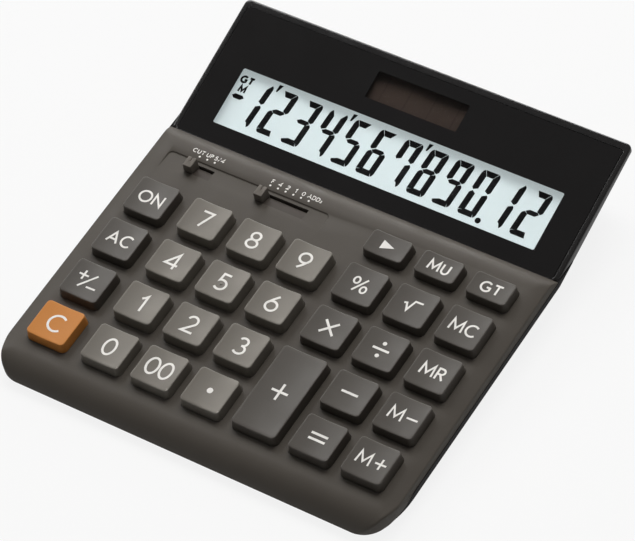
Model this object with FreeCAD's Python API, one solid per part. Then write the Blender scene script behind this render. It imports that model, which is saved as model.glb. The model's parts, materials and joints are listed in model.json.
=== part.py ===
import FreeCAD, Part
import math
import os

# Desktop calculator, millimetres. +Z is up, +X is to the right and +Y is away from the user.
# The origin is under the middle of the body, on the surface that the feet stand on.
# Most pieces are drawn on the keyboard deck and then tilted onto the desk.
# On the deck, y is 0 at the front edge of the bottom row of key tops, and z is 0 on the deck.

V = FreeCAD.Vector
os.makedirs("parts", exist_ok=True)

# Whole body
body_width = 150.6
keyboard_slope = 4.0
deck_height = 9.4
deck_wall = 1.8
foot_height = 1.2
floor_wall = 1.6
side_wall = 1.8

# Front edge, side edges and crest of the deck
side_corner_radius = 32.0
front_corner_radius = 9.0
corner_split = 25.0
corner_land = 1.0
rear_corner_radius = 2.0
roll_start = -5.0
roll_radius = 9.5
front_drop = 5.7
side_roll_width = 6.8
side_roll_drop = 1.2
crest_start = 88.3
crest_length = 7.0
crest_drop = 3.0
side_edge_inset = 0.15
side_edge_lean = 17.0

# Joint line between the upper and lower shells
seam_ramp_front = -6.0
seam_ramp_rear = 6.0
tongue_width = 0.75
tongue_height = 1.2
tongue_gap = 0.1

# Lower shell
band_depth = 5.3
rear_band = 0.6
undercut = 32.0
keel_reach = 18.0
rib_thickness = 1.0
rib_places = (-30.0, 0.0, 30.0)
rib_front = -58.0
rib_rear = 12.0
rib_gap = 1.6

# Display housing
panel_slope = 13.2
panel_length = 52.85
housing_side_inset = 0.6
housing_side_lean = 12.0
housing_rear_lean = 1.7
housing_wall = 2.0
housing_edge_round = 0.7
apron_reach = 1.0
ledge_thickness = 1.2

# Display window
lens_thickness = 1.5
lens_side_margin = 1.9
lens_front_margin = 0.6
lens_rear_margin = 3.05
lens_corner_radius = 1.0
lens_gap = 0.1

# Liquid crystal cell
cell_side_overlap = 0.8
cell_rear_overlap = 0.8
cell_front = 4.6
cell_glass = 1.1
cell_contact_strip = 2.6
view_side_margin = 11.6
view_front = 6.0
cell_gap = 0.05

# Solar cell
solar_width = 39.4
solar_depth = 13.4
solar_thickness = 1.1
solar_rear_margin = 13.05
solar_front_gap = 2.1
solar_view_width = 37.8
solar_view_depth = 12.4

# Cell holder
holder_side_land = 4.0
holder_front = 3.6
holder_rear_land = 1.2
holder_thickness = 1.3
holder_rim = 1.0
holder_slot_width = 100.0
holder_slot_depth = 14.0
holder_corner_radius = 1.5
holder_slot_radius = 2.0
holder_screw_inset = 2.1
holder_screw_line = 3.4

# Keys
key_side_margin = 8.0
key_spacing = 4.75
block_gap = 1.95
row_pitch = 18.7
top_row_offset = 19.6
key_depth = 13.9
digit_key_trim_width = 0.1
digit_key_trim_depth = 0.4
short_key_depth = 8.95
key_height = 3.8
digit_key_rise = 0.6
tall_key_extra_width = 1.8
key_flare_width = 0.4
key_corner_radius = 1.4
key_wall = 1.3
key_top_wall = 1.2
dish_depth = 0.32
key_hole_gap = 0.3
key_travel = 1.6
flange_width = 0.6
flange_thickness = 0.8
flange_gap = 0.1
plunger_width = 4.2

# Rubber contact sheet and circuit board
travel_reserve = 0.1
sheet_thickness = 0.5
dome_base_radius = 3.5
dome_lean = 1.2
dome_gap = 0.05
board_thickness = 1.0
board_side_gap = 6.8
board_front = -2.4
board_rear = 86.6
chip_x = -6.0
chip_y = 70.0
chip_radius = 6.0
chip_height = 1.3
sheet_margin = 0.6
notch_left_inset = 3.9
notch_right_inset = 4.0

# Selector switches
recess_side_margin = 7.4
recess_length = 63.8
recess_rear = 85.2
recess_front = 77.0
recess_depth = 0.45
recess_corner_radius = 2.0
slot_front = 79.4
slot_depth = 4.3
slot_floor_depth = 1.2
slot_end_gap = 0.2
slit_depth = 0.9
rounding_side_margin = 18.3
decimal_side_margin = 46.35
selector_step = 3.01
rounding_steps = 2
decimal_steps = 5
knob_width = 3.5
knob_top_width = 3.1
knob_height = 3.4
knob_side_gap = 0.1
knob_floor_gap = 0.1
knob_groove_width = 0.45
knob_groove_length = 1.7
knob_groove_depth = 0.4
neck_gap = 0.1
slider_width = 12.0
slider_depth = 6.6
slider_thickness = 0.9
slider_gap = 0.1
wiper_thickness = 0.25
wiper_depth = 2.6
wiper_reach = 3.0

# Screws and bosses
case_screw_inset = 11.3
rear_screw_inset = 18.3
case_screw_rows = (-6.4, 90.2, 132.6)
case_joint_front = 5.3
case_joint_rise = 5.2
case_screw_radius = 1.0
case_screw_shank = 4.0
case_head_radius = 2.0
case_head_height = 1.1
case_web = 1.5
boss_radius = 3.2
boss_seat_gap = 0.05
pilot_gap = 0.1
board_post_gaps = ((0, 0), (5, 0), (0, 2), (3, 2), (1, 3), (5, 3))
post_radius = 1.4
board_screw_radius = 0.7
board_screw_shank = 3.2
board_head_radius = 1.5
board_head_height = 0.9

# Battery bay, measured on the desk frame
bay_x = 30.0
bay_y = 52.0
bay_width = 22.0
bay_depth = 14.4
bay_wall = 1.2
bay_corner_radius = 0.6
cell_battery_radius = 5.8
cell_battery_height = 5.4
cell_lift = 0.05
bay_head_room = 0.9
cover_thickness = 1.8
cover_ledge = 1.6
cover_land = 6.0
cover_gap = 0.2
cover_head_recess = 1.0
cover_screw_inset = 0.6
cover_corner_radius = 1.4
cover_groove_width = 1.2
cover_groove_length = 8.0
cover_groove_depth = 0.5
contact_thickness = 0.3
contact_width = 4.0

# Feet
foot_radius = 4.5
foot_seat_depth = 0.7
foot_gap = 0.1
foot_side_inset = 19.3
foot_front_inset = 15.2
foot_rear_inset = 22.2

# Flat leads
lead_width = 1.2
lead_thickness = 0.4
lead_gap = 0.2
lead_spread = 5.0
lead_drop = 6.0
lead_low_run = 33.0
lead_clearance = 4.0
lead_board_drop = 2.4
lead_board_land = 6.0
lead_board_overhang = 1.0
ribbon_thickness = 0.2
ribbon_side_gap = 16.5

# Straight steps that make up a small round corner, a small rod and a larger rod
corner_steps = 2
small_sides = 8
large_sides = 20

# Values worked out from the ones above
half_width = body_width / 2
key_width = (body_width - 2 * key_side_margin - 6 * key_spacing - 2 * block_gap) / 7
key_pitch = key_width + key_spacing
digit_key_width = key_width - digit_key_trim_width
digit_key_depth = key_depth - digit_key_trim_depth
rounding_start_x = rounding_side_margin - half_width
decimal_start_x = decimal_side_margin - half_width
recess_left = recess_side_margin - half_width
recess_right = recess_left + recess_length
digit_key_height = key_height + digit_key_rise
tall_key_width = key_width + tall_key_extra_width
slot_centre_y = slot_front + slot_depth / 2
board_width = body_width - 2 * board_side_gap
view_width = body_width - 2 * view_side_margin
cell_width = view_width + 2 * cell_side_overlap
holder_width = cell_width + 2 * holder_side_land
holder_screw_x = holder_width / 2 - holder_screw_inset
ribbon_width = cell_width - 2 * ribbon_side_gap
solar_centre = panel_length - solar_rear_margin
cell_rear = solar_centre - solar_depth / 2 - solar_front_gap
view_rear = cell_rear - cell_rear_overlap
holder_rear = cell_rear + holder_rear_land
hinge_y = crest_start + crest_length
hinge_z = -crest_drop
seam_side_z = -crest_drop
seam_front_z = -front_drop
crest_radius = (crest_length ** 2 + crest_drop ** 2) / (2 * crest_drop)
side_roll_radius = (side_roll_width ** 2 + side_roll_drop ** 2) / (2 * side_roll_drop)
front_y = roll_start - math.sqrt(roll_radius ** 2 - (roll_radius - front_drop) ** 2)
slope = math.radians(keyboard_slope)
panel_angle = math.radians(panel_slope)
side_band = (band_depth - crest_drop) * math.cos(panel_angle)
rim_y = hinge_y + panel_length * math.cos(panel_angle)
rim_z = hinge_z + panel_length * math.sin(panel_angle)
rear_y = rim_y - housing_rear_lean
front_reach = front_y * math.cos(slope) - seam_front_z * math.sin(slope)
rear_reach = rim_y * math.cos(slope) - rim_z * math.sin(slope)
depth_shift = -(front_reach + rear_reach) / 2
foot_x = half_width - foot_side_inset
foot_front_y = foot_front_inset - (rear_reach - front_reach) / 2
foot_rear_y = (rear_reach - front_reach) / 2 - foot_rear_inset
base_z = foot_height
floor_top = base_z + floor_wall
flange_top = -deck_wall - flange_gap
flange_bottom = flange_top - flange_thickness
sheet_top = flange_bottom - key_travel - travel_reserve
board_top = sheet_top - sheet_thickness
board_bottom = board_top - board_thickness
plunger_bottom = flange_bottom + 0.3
dome_top = plunger_bottom - dome_gap
ledge_top = -lens_thickness
ledge_bottom = ledge_top - ledge_thickness
cell_top = ledge_bottom - cell_gap
cell_bottom = cell_top - 2 * cell_glass
FAR = 200.0


# Frames

def on_deck(x, y, z):
    """A point of the keyboard deck, as a point over the desk."""
    across = y * math.cos(slope) - z * math.sin(slope) + depth_shift
    up = y * math.sin(slope) + z * math.cos(slope) + deck_height
    return V(x, across, up)


def to_desk(shape):
    """Tilt a piece that is drawn on the deck and lift it onto the desk."""
    moved = shape.copy()
    moved.rotate(V(0, 0, 0), V(1, 0, 0), keyboard_slope)
    moved.translate(V(0, depth_shift, deck_height))
    return moved


def to_deck(shape):
    """Tilt a piece that is drawn on the display panel onto the deck."""
    moved = shape.copy()
    moved.rotate(V(0, 0, 0), V(1, 0, 0), panel_slope)
    moved.translate(V(0, hinge_y, hinge_z))
    return moved


# Drawing helpers

def box(x0, x1, y0, y1, z0, z1):
    return Part.makeBox(x1 - x0, y1 - y0, z1 - z0, V(x0, y0, z0))


def rod(radius, x, y, z0, z1, sides=small_sides):
    """Upright rod in flat steps that stay outside the stated radius by less than a step."""
    reach = radius / math.cos(math.pi / sides)
    points = []
    for i in range(sides):
        angle = 2 * math.pi * (i + 0.5) / sides
        points.append(V(x + reach * math.cos(angle), y + reach * math.sin(angle), z0))
    return Part.Face(Part.makePolygon(points + points[:1])).extrude(V(0, 0, z1 - z0))


def rounded_wire(corners, place):
    """Closed outline with a tangent arc at each (x, y, radius) corner, set in space by place."""
    starts = []
    arcs = []
    for i, (x, y, radius) in enumerate(corners):
        here = V(x, y, 0)
        back = (V(corners[i - 1][0], corners[i - 1][1], 0) - here).normalize()
        ahead_corner = corners[(i + 1) % len(corners)]
        ahead = (V(ahead_corner[0], ahead_corner[1], 0) - here).normalize()
        half = back.getAngle(ahead) / 2
        inward = (back + ahead).normalize()
        reach = radius / math.tan(half)
        middle = here + inward * (radius / math.sin(half) - radius)
        start = here + back * reach
        end = here + ahead * reach
        starts.append((start, end))
        arcs.append([place(p.x, p.y) for p in (start, middle, end)])
    edges = []
    for i, arc in enumerate(arcs):
        before = arcs[i - 1][2]
        if before.distanceToPoint(arc[0]) > 1e-6:
            edges.append(Part.makeLine(before, arc[0]))
        edges.append(Part.Arc(*arc).toShape())
    return Part.Wire(edges)


def level(z):
    return lambda x, y: V(x, y, z)


def prism(wire, height):
    return Part.Face(wire).extrude(V(0, 0, height))


def outline(width, depth, radius, x, y):
    """Points of a level rounded rectangle about (x, y)."""
    points = []
    for quarter, (right, rear) in enumerate(((1, 1), (-1, 1), (-1, -1), (1, -1))):
        centre_x = x + right * (width / 2 - radius)
        centre_y = y + rear * (depth / 2 - radius)
        for step in range(corner_steps + 1):
            angle = math.pi / 2 * (quarter + step / corner_steps)
            points.append((centre_x + radius * math.cos(angle), centre_y + radius * math.sin(angle)))
    return points


def slab(width, depth, radius, x, y, z0, z1):
    points = [V(a, b, z0) for a, b in outline(width, depth, radius, x, y)]
    return Part.Face(Part.makePolygon(points + points[:1])).extrude(V(0, 0, z1 - z0))


def tapered(low, high, z0, z1):
    """Solid between two level outlines with matching points and parallel sides."""
    bottom = [V(a, b, z0) for a, b in low]
    top = [V(a, b, z1) for a, b in high]
    faces = [Part.Face(Part.makePolygon(bottom + bottom[:1])), Part.Face(Part.makePolygon(top + top[:1]))]
    for i in range(len(low)):
        side = [bottom[i - 1], bottom[i], top[i], top[i - 1]]
        faces.append(Part.Face(Part.makePolygon(side + side[:1])))
    solid = Part.Solid(Part.Shell(faces))
    if solid.Volume < 0:
        solid.reverse()
    return solid


def across_x(points, x0=-FAR, x1=FAR):
    """Extrude a closed outline of (y, z) points and arcs along X."""
    edges = []
    for a, b in zip(points, points[1:] + points[:1]):
        start = V(x0, a[0], a[1])
        end = V(x0, b[0], b[1])
        if len(b) == 4:
            edges.append(Part.Arc(start, V(x0, b[2], b[3]), end).toShape())
        else:
            edges.append(Part.makeLine(start, end))
    return Part.Face(Part.Wire(edges)).extrude(V(x1 - x0, 0, 0))


def joined(shapes):
    return shapes[0].multiFuse(shapes[1:]) if len(shapes) > 1 else shapes[0]


def save(name, shape):
    """Write one node, and stop if any of its solids is open or faulty."""
    solids = shape.Solids
    if not solids or not shape.isValid():
        raise ValueError(name + " is not a set of closed solids")
    kept = solids[0] if len(solids) == 1 else Part.makeCompound(solids)
    kept.exportStep("parts/" + name + ".step")
    print(name, len(solids), round(shape.Volume, 1))


# Outlines that both shells share

def corner_centres():
    """Centres of the side arc and of the front arc that make up the right front corner."""
    turn = math.radians(corner_split)
    gap = side_corner_radius - front_corner_radius
    front = front_y + front_corner_radius
    side = (half_width - side_corner_radius, front + gap * math.sin(turn))
    return side, (side[0] + gap * math.cos(turn), front)


def plan_wire(inset, rear, z):
    """Plan of the body, with two touching arcs at each front corner and small rear ones."""
    w = half_width - inset
    turn = math.radians(corner_split)
    (side_x, side_y), (front_x, front_centre) = corner_centres()
    wide = side_corner_radius - inset
    tight = front_corner_radius - inset
    small = max(rear_corner_radius - inset, 0.4)
    y = side_y - wide * math.tan(turn / 2)
    x = front_x + tight * math.tan((math.pi / 2 - turn) / 2)
    front = front_y + inset
    corners = [(-w, y, wide), (-x, front, tight), (x, front, tight), (w, y, wide)]
    corners += [(w, rear - inset, small), (-w, rear - inset, small)]
    return rounded_wire(corners, level(z))


def seam_line(drop):
    """Joint line between the shells seen from the side, lowered by drop."""
    return [
        (-FAR, seam_front_z - drop), (seam_ramp_front, seam_front_z - drop),
        (seam_ramp_rear, seam_side_z - drop), (FAR, seam_side_z - drop),
    ]


def above_seam(drop=0.0):
    return across_x(seam_line(drop) + [(FAR, FAR), (-FAR, FAR)])


def below_seam(drop=0.0):
    return across_x(seam_line(drop) + [(FAR, -FAR), (-FAR, -FAR)])


def roll_point(start_y, radius, skin, angle):
    """Point (y, z) on a roll that leaves the deck at start_y, less a skin. Angles lean forward."""
    return start_y - (radius - skin) * math.sin(angle), (radius - skin) * math.cos(angle) - radius


def deck_block():
    """Everything under the deck's rolled front, crest and side edges."""
    angle = math.radians(72.0)
    turn = -math.asin(crest_length / crest_radius)
    low = roll_point(roll_start, roll_radius, 0, angle)
    end = roll_point(crest_start, crest_radius, 0, turn)
    run = across_x([
        (low[0], -FAR), low,
        (roll_start, 0) + roll_point(roll_start, roll_radius, 0, angle / 2),
        (crest_start, 0),
        end + roll_point(crest_start, crest_radius, 0, turn / 2),
        (end[0], -FAR),
    ])
    edge = half_width - side_roll_width
    lean = math.asin(side_roll_width / side_roll_radius)
    out_x, out_z = roll_point(-edge, side_roll_radius, 0, lean)
    mid_x, mid_z = roll_point(-edge, side_roll_radius, 0, lean / 2)
    p = [V(out_x, -FAR, out_z), V(-edge, -FAR, 0), V(edge, -FAR, 0), V(-out_x, -FAR, out_z)]
    low = [V(-out_x, -FAR, -FAR), V(out_x, -FAR, -FAR)]
    wire = Part.Wire([
        Part.Arc(p[0], V(mid_x, -FAR, mid_z), p[1]).toShape(), Part.makeLine(p[1], p[2]),
        Part.Arc(p[2], V(-mid_x, -FAR, mid_z), p[3]).toShape(), Part.makeLine(p[3], low[0]),
        Part.makeLine(low[0], low[1]), Part.makeLine(low[1], p[0]),
    ])
    return run.common(Part.Face(wire).extrude(V(0, 2 * FAR, 0)))


def deck_room(skin):
    """Room under the deck, less a skin, with the rolls in two straight steps."""
    angle = math.acos((roll_radius - front_drop) / roll_radius)
    turn = -math.asin(crest_length / crest_radius)
    front = [roll_point(roll_start, roll_radius, skin, angle * part) for part in (1.0, 0.5, 0.0)]
    crest = [roll_point(crest_start, crest_radius, skin, turn * part) for part in (0.0, 0.5, 1.0)]
    return across_x([(front[0][0], -FAR)] + front + crest + [(crest[2][0], -FAR)])


def plan_room(inset, lower=0.0):
    """Points of the room's plan: slanted front corners and square rear ones, drawn in by a lower taper."""
    grow = inset + lower
    w = half_width - grow
    front = front_y + grow
    rear = rear_y - grow
    turn = math.radians(corner_split)
    side_x, side_y = corner_centres()[0]
    reach = side_corner_radius - grow - corner_land
    y = side_y + ((w - side_x) * math.cos(turn) - reach) / math.sin(turn)
    x = side_x + (reach + (front - side_y) * math.sin(turn)) / math.cos(turn)
    left = [(-w, rear), (-w, y), (-x, front)]
    return left + [(-x, y) for x, y in left[::-1]]


def room(inset, z0, z1):
    """Upright room within the side walls."""
    plan = plan_room(inset)
    return tapered(plan, plan, z0, z1)


def side_hull(skin):
    """Space between two planes that lean in below a band along the display's side edges, less a skin."""
    angle = math.radians(undercut)
    edge = half_width - skin / math.cos(angle)
    taper = (side_band - rear_band) / panel_length
    bottom = -keel_reach * 3
    p = []
    for side, z in ((-1, bottom), (1, bottom), (1, FAR), (-1, FAR)):
        half = edge + (z + side_band) * math.tan(angle)
        p.append(V(side * half, -FAR, z - taper * FAR))
    return to_deck(Part.Face(Part.makePolygon(p + p[:1])).extrude(V(0, 2 * FAR, 2 * FAR * taper)))


def leaning_sides(half, lean, low, high):
    """Space between two planes that stand half from the middle at z 0 and lean in upwards."""
    slant = math.tan(math.radians(lean))
    p = [V(side * (half - z * slant), -FAR, z) for side, z in ((-1, low), (1, low), (1, high), (-1, high))]
    return Part.Face(Part.makePolygon(p + p[:1])).extrude(V(0, 2 * FAR, 0))


# Keys

def column_x(column):
    """Centre of a key column. Column 3 is the body's middle."""
    gap = block_gap if column == 0 or column > 3 else 0.0
    return (column - 3) * key_pitch + (gap if column > 3 else -gap)


def row_y(row, depth):
    """Centre of a key row, with row 0 in front. The short keys have a row 4 of their own."""
    front = 3 * row_pitch + top_row_offset if row == 4 else row * row_pitch
    seat = short_key_depth if row == 4 else key_depth
    return front + seat / 2 if depth <= key_depth else front + depth / 2


tall_key_depth = row_pitch + key_depth
key_layout = {
    "key_clear": (0, 0, key_width, key_depth),
    "key_sign": (0, 1, key_width, key_depth),
    "key_all_clear": (0, 2, key_width, key_depth),
    "key_on": (0, 3, key_width, key_depth),
    "key_0": (1, 0, key_width, key_depth),
    "key_00": (2, 0, key_width, key_depth),
    "key_point": (3, 0, key_width, key_depth),
    "key_plus": (4, 0, tall_key_width, tall_key_depth),
    "key_equals": (5, 0, key_width, key_depth),
    "key_memory_plus": (6, 0, key_width, key_depth),
    "key_minus": (5, 1, key_width, key_depth),
    "key_memory_minus": (6, 1, key_width, key_depth),
    "key_times": (4, 2, key_width, key_depth),
    "key_divide": (5, 2, key_width, key_depth),
    "key_memory_recall": (6, 2, key_width, key_depth),
    "key_percent": (4, 3, key_width, key_depth),
    "key_root": (5, 3, key_width, key_depth),
    "key_memory_clear": (6, 3, key_width, key_depth),
    "key_backspace": (4, 4, key_width, short_key_depth),
    "key_mark_up": (5, 4, key_width, short_key_depth),
    "key_grand_total": (6, 4, key_width, short_key_depth),
}
for digit in range(1, 10):
    place = (1 + (digit - 1) % 3, 1 + (digit - 1) // 3)
    key_layout["key_" + str(digit)] = place + (digit_key_width, digit_key_depth)


def key_centre(name):
    """Centre of a key. One that is wider than its column lines up with it on the right."""
    column, row, width, depth = key_layout[name]
    return column_x(column) - max(width - key_width, 0.0) / 2, row_y(row, depth)


def key_top(name):
    """Height of a key over the deck."""
    return digit_key_height if key_layout[name][2] == digit_key_width else key_height


def post_places():
    """(x, y) of each board post, in the gap to the right of a column and behind a row."""
    places = []
    for column, row in board_post_gaps:
        x = (column_x(column) + column_x(column + 1)) / 2
        rear = row * row_pitch + key_depth
        ahead = 3 * row_pitch + top_row_offset if row == 3 else (row + 1) * row_pitch
        places.append((x, (rear + ahead) / 2))
    return places


def flare_at(name, z):
    """Half of what a key grows by between its top and the height z."""
    return key_flare_width * (key_top(name) - z) / key_top(name)


def key_shape(name):
    """Hollow key: drafted walls, a dished top, a flange under the deck and a plunger."""
    width, depth = key_layout[name][2:]
    x, y = key_centre(name)
    high = key_top(name)
    flare = flare_at(name, flange_top)
    grow = 2 * flare
    skirt_radius = key_corner_radius + flare
    top = outline(width, depth, key_corner_radius, x, y)
    skirt = outline(width + grow, depth + grow, skirt_radius, x, y)
    body = tapered(skirt, top, flange_top, high)
    dish_radius = ((width / 2) ** 2 + dish_depth ** 2) / (2 * dish_depth)
    bowl_axis = V(x, y - depth, high - dish_depth + dish_radius)
    bowl = Part.makeCylinder(dish_radius, 2 * depth, bowl_axis, V(0, 1, 0))
    body = body.cut(bowl)
    w = width / 2 + flare + flange_width
    d = depth / 2 + flare + flange_width
    flange = box(x - w, x + w, y - d, y + d, flange_bottom, flange_top)
    w = width / 2 - key_wall
    d = depth / 2 - key_wall
    ceiling = high - dish_depth - key_top_wall
    pocket = box(x - w, x + w, y - d, y + d, flange_bottom, ceiling)
    half = plunger_width / 2
    plunger = box(x - half, x + half, y - half, y + half, plunger_bottom, ceiling)
    return body.fuse(flange).cut(pocket).fuse(plunger)


def key_hole(name):
    """Opening in the deck that a key slides in."""
    width, depth = key_layout[name][2:]
    x, y = key_centre(name)
    reach = flare_at(name, flange_top) + key_hole_gap
    grow = 2 * reach
    radius = key_corner_radius + reach
    return slab(width + grow, depth + grow, radius, x, y, -2 * deck_wall, deck_wall)


# Selector switches

def slot_span(start_x, steps):
    reach = knob_width / 2 + slot_end_gap
    return start_x - reach, start_x + steps * selector_step + reach


def recess_floor(y):
    """Height of the sloping recess floor at y."""
    return -recess_depth * (y - recess_front) / (recess_rear - recess_front)


def selector_recess():
    """Shallow wedge that is deepest along its rear edge and runs out to nothing in front."""
    wedge = across_x([
        (recess_front, 0.0), (recess_rear + 1.0, recess_floor(recess_rear + 1.0)),
        (recess_rear + 1.0, 1.0), (recess_front, 1.0),
    ])
    middle_x = (recess_left + recess_right) / 2
    depth = 2 * (recess_rear - recess_front)
    middle_y = recess_rear - depth / 2
    plan = slab(recess_length, depth, recess_corner_radius, middle_x, middle_y, -deck_height, deck_height)
    return wedge.common(plan)


def slot_floor(y):
    """Height of the sloping floor of a selector's slot at y."""
    start = recess_floor(slot_front)
    return start - (slot_floor_depth + start) * (y - slot_front) / slot_depth


def selector_slot(start_x, steps):
    """Pocket that is deepest along its rear edge, with a slit there for the selector's neck."""
    left, right = slot_span(start_x, steps)
    rear = slot_front + slot_depth
    low = slot_floor(rear)
    side = [(slot_front, slot_floor(slot_front)), (rear, low), (rear, 1.0), (slot_front, 1.0)]
    pocket = across_x(side, left, right)
    return pocket.fuse(box(left, right, rear - slit_depth, rear, -2 * deck_wall, low + slit_depth))


def plan_of(x, half, front, rear):
    """Points of a level rectangle about x."""
    return [(x - half, front), (x + half, front), (x + half, rear), (x - half, rear)]


def selector_knob(start_x):
    """Tapered thumb piece with an index groove, its neck in the slit and a slider plate under the deck."""
    front = slot_front + knob_side_gap
    rear = slot_front + slot_depth - neck_gap
    half = knob_width / 2
    base = slot_floor(front) + knob_floor_gap
    foot = across_x([
        (front, base), (rear, slot_floor(rear) + knob_floor_gap), (rear, base + knob_floor_gap),
        (front, base + knob_floor_gap),
    ], start_x - half, start_x + half)
    head = tapered(
        plan_of(start_x, half, front, rear), plan_of(start_x, knob_top_width / 2, front, rear),
        base + knob_floor_gap, knob_height,
    )
    groove = knob_groove_width / 2
    head = head.cut(box(
        start_x - groove, start_x + groove, rear - knob_groove_length, rear + 1.0,
        knob_height - knob_groove_depth, knob_height + 1.0,
    ))
    slider_top = -deck_wall - slider_gap
    neck_front = slot_front + slot_depth - slit_depth + neck_gap
    neck_top = slot_floor(neck_front) + knob_floor_gap
    neck = box(start_x - half, start_x + half, neck_front, rear, slider_top, neck_top)
    plate_low = slot_centre_y - slider_depth / 2
    plate = box(
        start_x - slider_width / 2, start_x + slider_width / 2, plate_low, plate_low + slider_depth,
        slider_top - slider_thickness, slider_top,
    )
    return joined([head, foot, neck, plate])


def selector_wiper(start_x):
    """Bent metal leaf under the slider, with two fingers that brush the board."""
    top = -deck_wall - slider_gap - slider_thickness
    low = board_top + dome_gap
    half = wiper_reach
    t = wiper_thickness
    bend = half - (top - low) * 0.6
    outline = [
        (-half, low), (-bend, top - t), (bend, top - t), (half, low), (half + 0.5, low + 0.4),
        (half + 0.5, low + 0.4 + t), (half, low + t), (bend, top), (-bend, top), (-half, low + t),
        (-half - 0.5, low + 0.4 + t), (-half - 0.5, low + 0.4),
    ]
    points = [V(start_x + a, slot_centre_y - wiper_depth / 2, b) for a, b in outline]
    return Part.Face(Part.makePolygon(points + points[:1])).extrude(V(0, wiper_depth, 0))


# Upper shell

def boss_joint_z(row):
    """Height over the desk at which the two shells' screw bosses meet."""
    return case_joint_front + case_joint_rise * row


def case_screw_places():
    """(x, y over the desk, joint height) of each screw that closes the case."""
    places = []
    insets = (case_screw_inset, case_screw_inset, rear_screw_inset)
    for row, deck_y in enumerate(case_screw_rows):
        for side in (-1, 1):
            point = on_deck(side * (half_width - insets[row]), deck_y, 0.0)
            places.append((point.x, point.y, boss_joint_z(row)))
    return places


def boss_above(place, top):
    """Boss that hangs from a cover, with a blind pilot hole for the screw."""
    x, y, joint = place
    return rod(boss_radius, x, y, joint + boss_seat_gap, top)


def pilot_above(place):
    x, y, joint = place
    reach = joint - case_web + case_screw_shank + pilot_gap
    return rod(case_screw_radius + pilot_gap, x, y, joint - 1.0, reach)


def upper_case():
    """Keyboard shell with its key holes, selector recess, screw bosses and board posts."""
    outer = prism(plan_wire(0.0, FAR, -FAR), 2 * FAR).common(deck_block()).common(above_seam())
    edge = half_width - side_edge_inset + seam_side_z * math.tan(math.radians(side_edge_lean))
    outer = outer.common(leaning_sides(edge, side_edge_lean, -2 * front_drop, 1.0))
    inner = tapered(plan_room(side_wall), plan_room(side_wall), -FAR, FAR).common(deck_room(deck_wall))
    lip = prism(plan_wire(side_wall - tongue_width, FAR, -FAR), 2 * FAR).common(deck_room(deck_wall / 2))
    lip = lip.common(above_seam(tongue_height)).common(box(-FAR, FAR, -FAR, crest_start, -FAR, -deck_wall))
    shell = outer.fuse(lip).cut(inner)
    posts = [rod(post_radius, x, y, board_top, -deck_wall / 2) for x, y in post_places()]
    shell = joined([shell] + posts)
    holes = [key_hole(name) for name in key_layout]
    holes.append(selector_recess())
    holes.append(selector_slot(rounding_start_x, rounding_steps))
    holes.append(selector_slot(decimal_start_x, decimal_steps))
    for x, y in post_places():
        depth = board_bottom + board_screw_shank + pilot_gap
        holes.append(rod(board_screw_radius + pilot_gap, x, y, board_top - 1.0, depth))
    shell = to_desk(shell.cut(Part.makeCompound(holes)))
    skin = to_desk(deck_room(deck_wall / 2).common(room(side_wall / 2, -FAR, FAR)))
    for place in case_screw_places()[:4]:
        boss = boss_above(place, FAR).common(skin)
        shell = shell.fuse(boss).cut(pilot_above(place))
    return shell


# Lower shell

def keel(inset, corners_round):
    """Body below the band: sides that lean in evenly all round, with cones at the round corners."""
    lean = math.tan(math.radians(undercut))
    top = -band_depth
    low = top - keel_reach
    w, front, rear = half_width - inset, front_y + inset, rear_y - inset
    g = keel_reach * lean
    if not corners_round:
        return tapered(plan_room(inset, g), plan_room(inset), low, top)
    plan = [(-w, front), (w, front), (w, rear), (-w, rear)]
    drawn = [(-w + g, front + g), (w - g, front + g), (w - g, rear - g), (-w + g, rear - g)]
    body = tapered(drawn, plan, low, top)
    side, tight = corner_centres()
    arcs = [
        (side[0], side[1], side_corner_radius, -corner_split, 0.0),
        (tight[0], tight[1], front_corner_radius, -90.0, -corner_split),
        (half_width - rear_corner_radius, rear_y - rear_corner_radius, rear_corner_radius, 0.0, 90.0),
    ]
    corners = []
    for x, y, radius, start, end in arcs:
        for right in (-1, 1):
            radius_here = radius - inset
            height = min(keel_reach, radius_here / lean)
            tip = V(right * x, y, top - height)
            cone = Part.makeCone(max(radius_here - height * lean, 0.0), radius_here, height, tip)
            body = body.cut(sector(right, x, y, radius + 4.0, start, end, low - 1.0, top + 1.0))
            corners.append(cone.common(sector(right, x, y, radius + 4.0, start, end, low - 1.0, top)))
    return joined([body] + corners)


def sector(right, x, y, reach, start, end, z0, z1):
    """Upright wedge about (x, y) between two angles, or its mirror image on the left."""
    reach = reach / math.cos(math.radians(end - start) / 2)
    points = [V(right * x, y, z0)]
    for angle in (start, (start + end) / 2, end):
        turn = math.radians(angle)
        points.append(V(right * (x + reach * math.cos(turn)), y + reach * math.sin(turn), z0))
    return Part.Face(Part.makePolygon(points + points[:1])).extrude(V(0, 0, z1 - z0))


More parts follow.
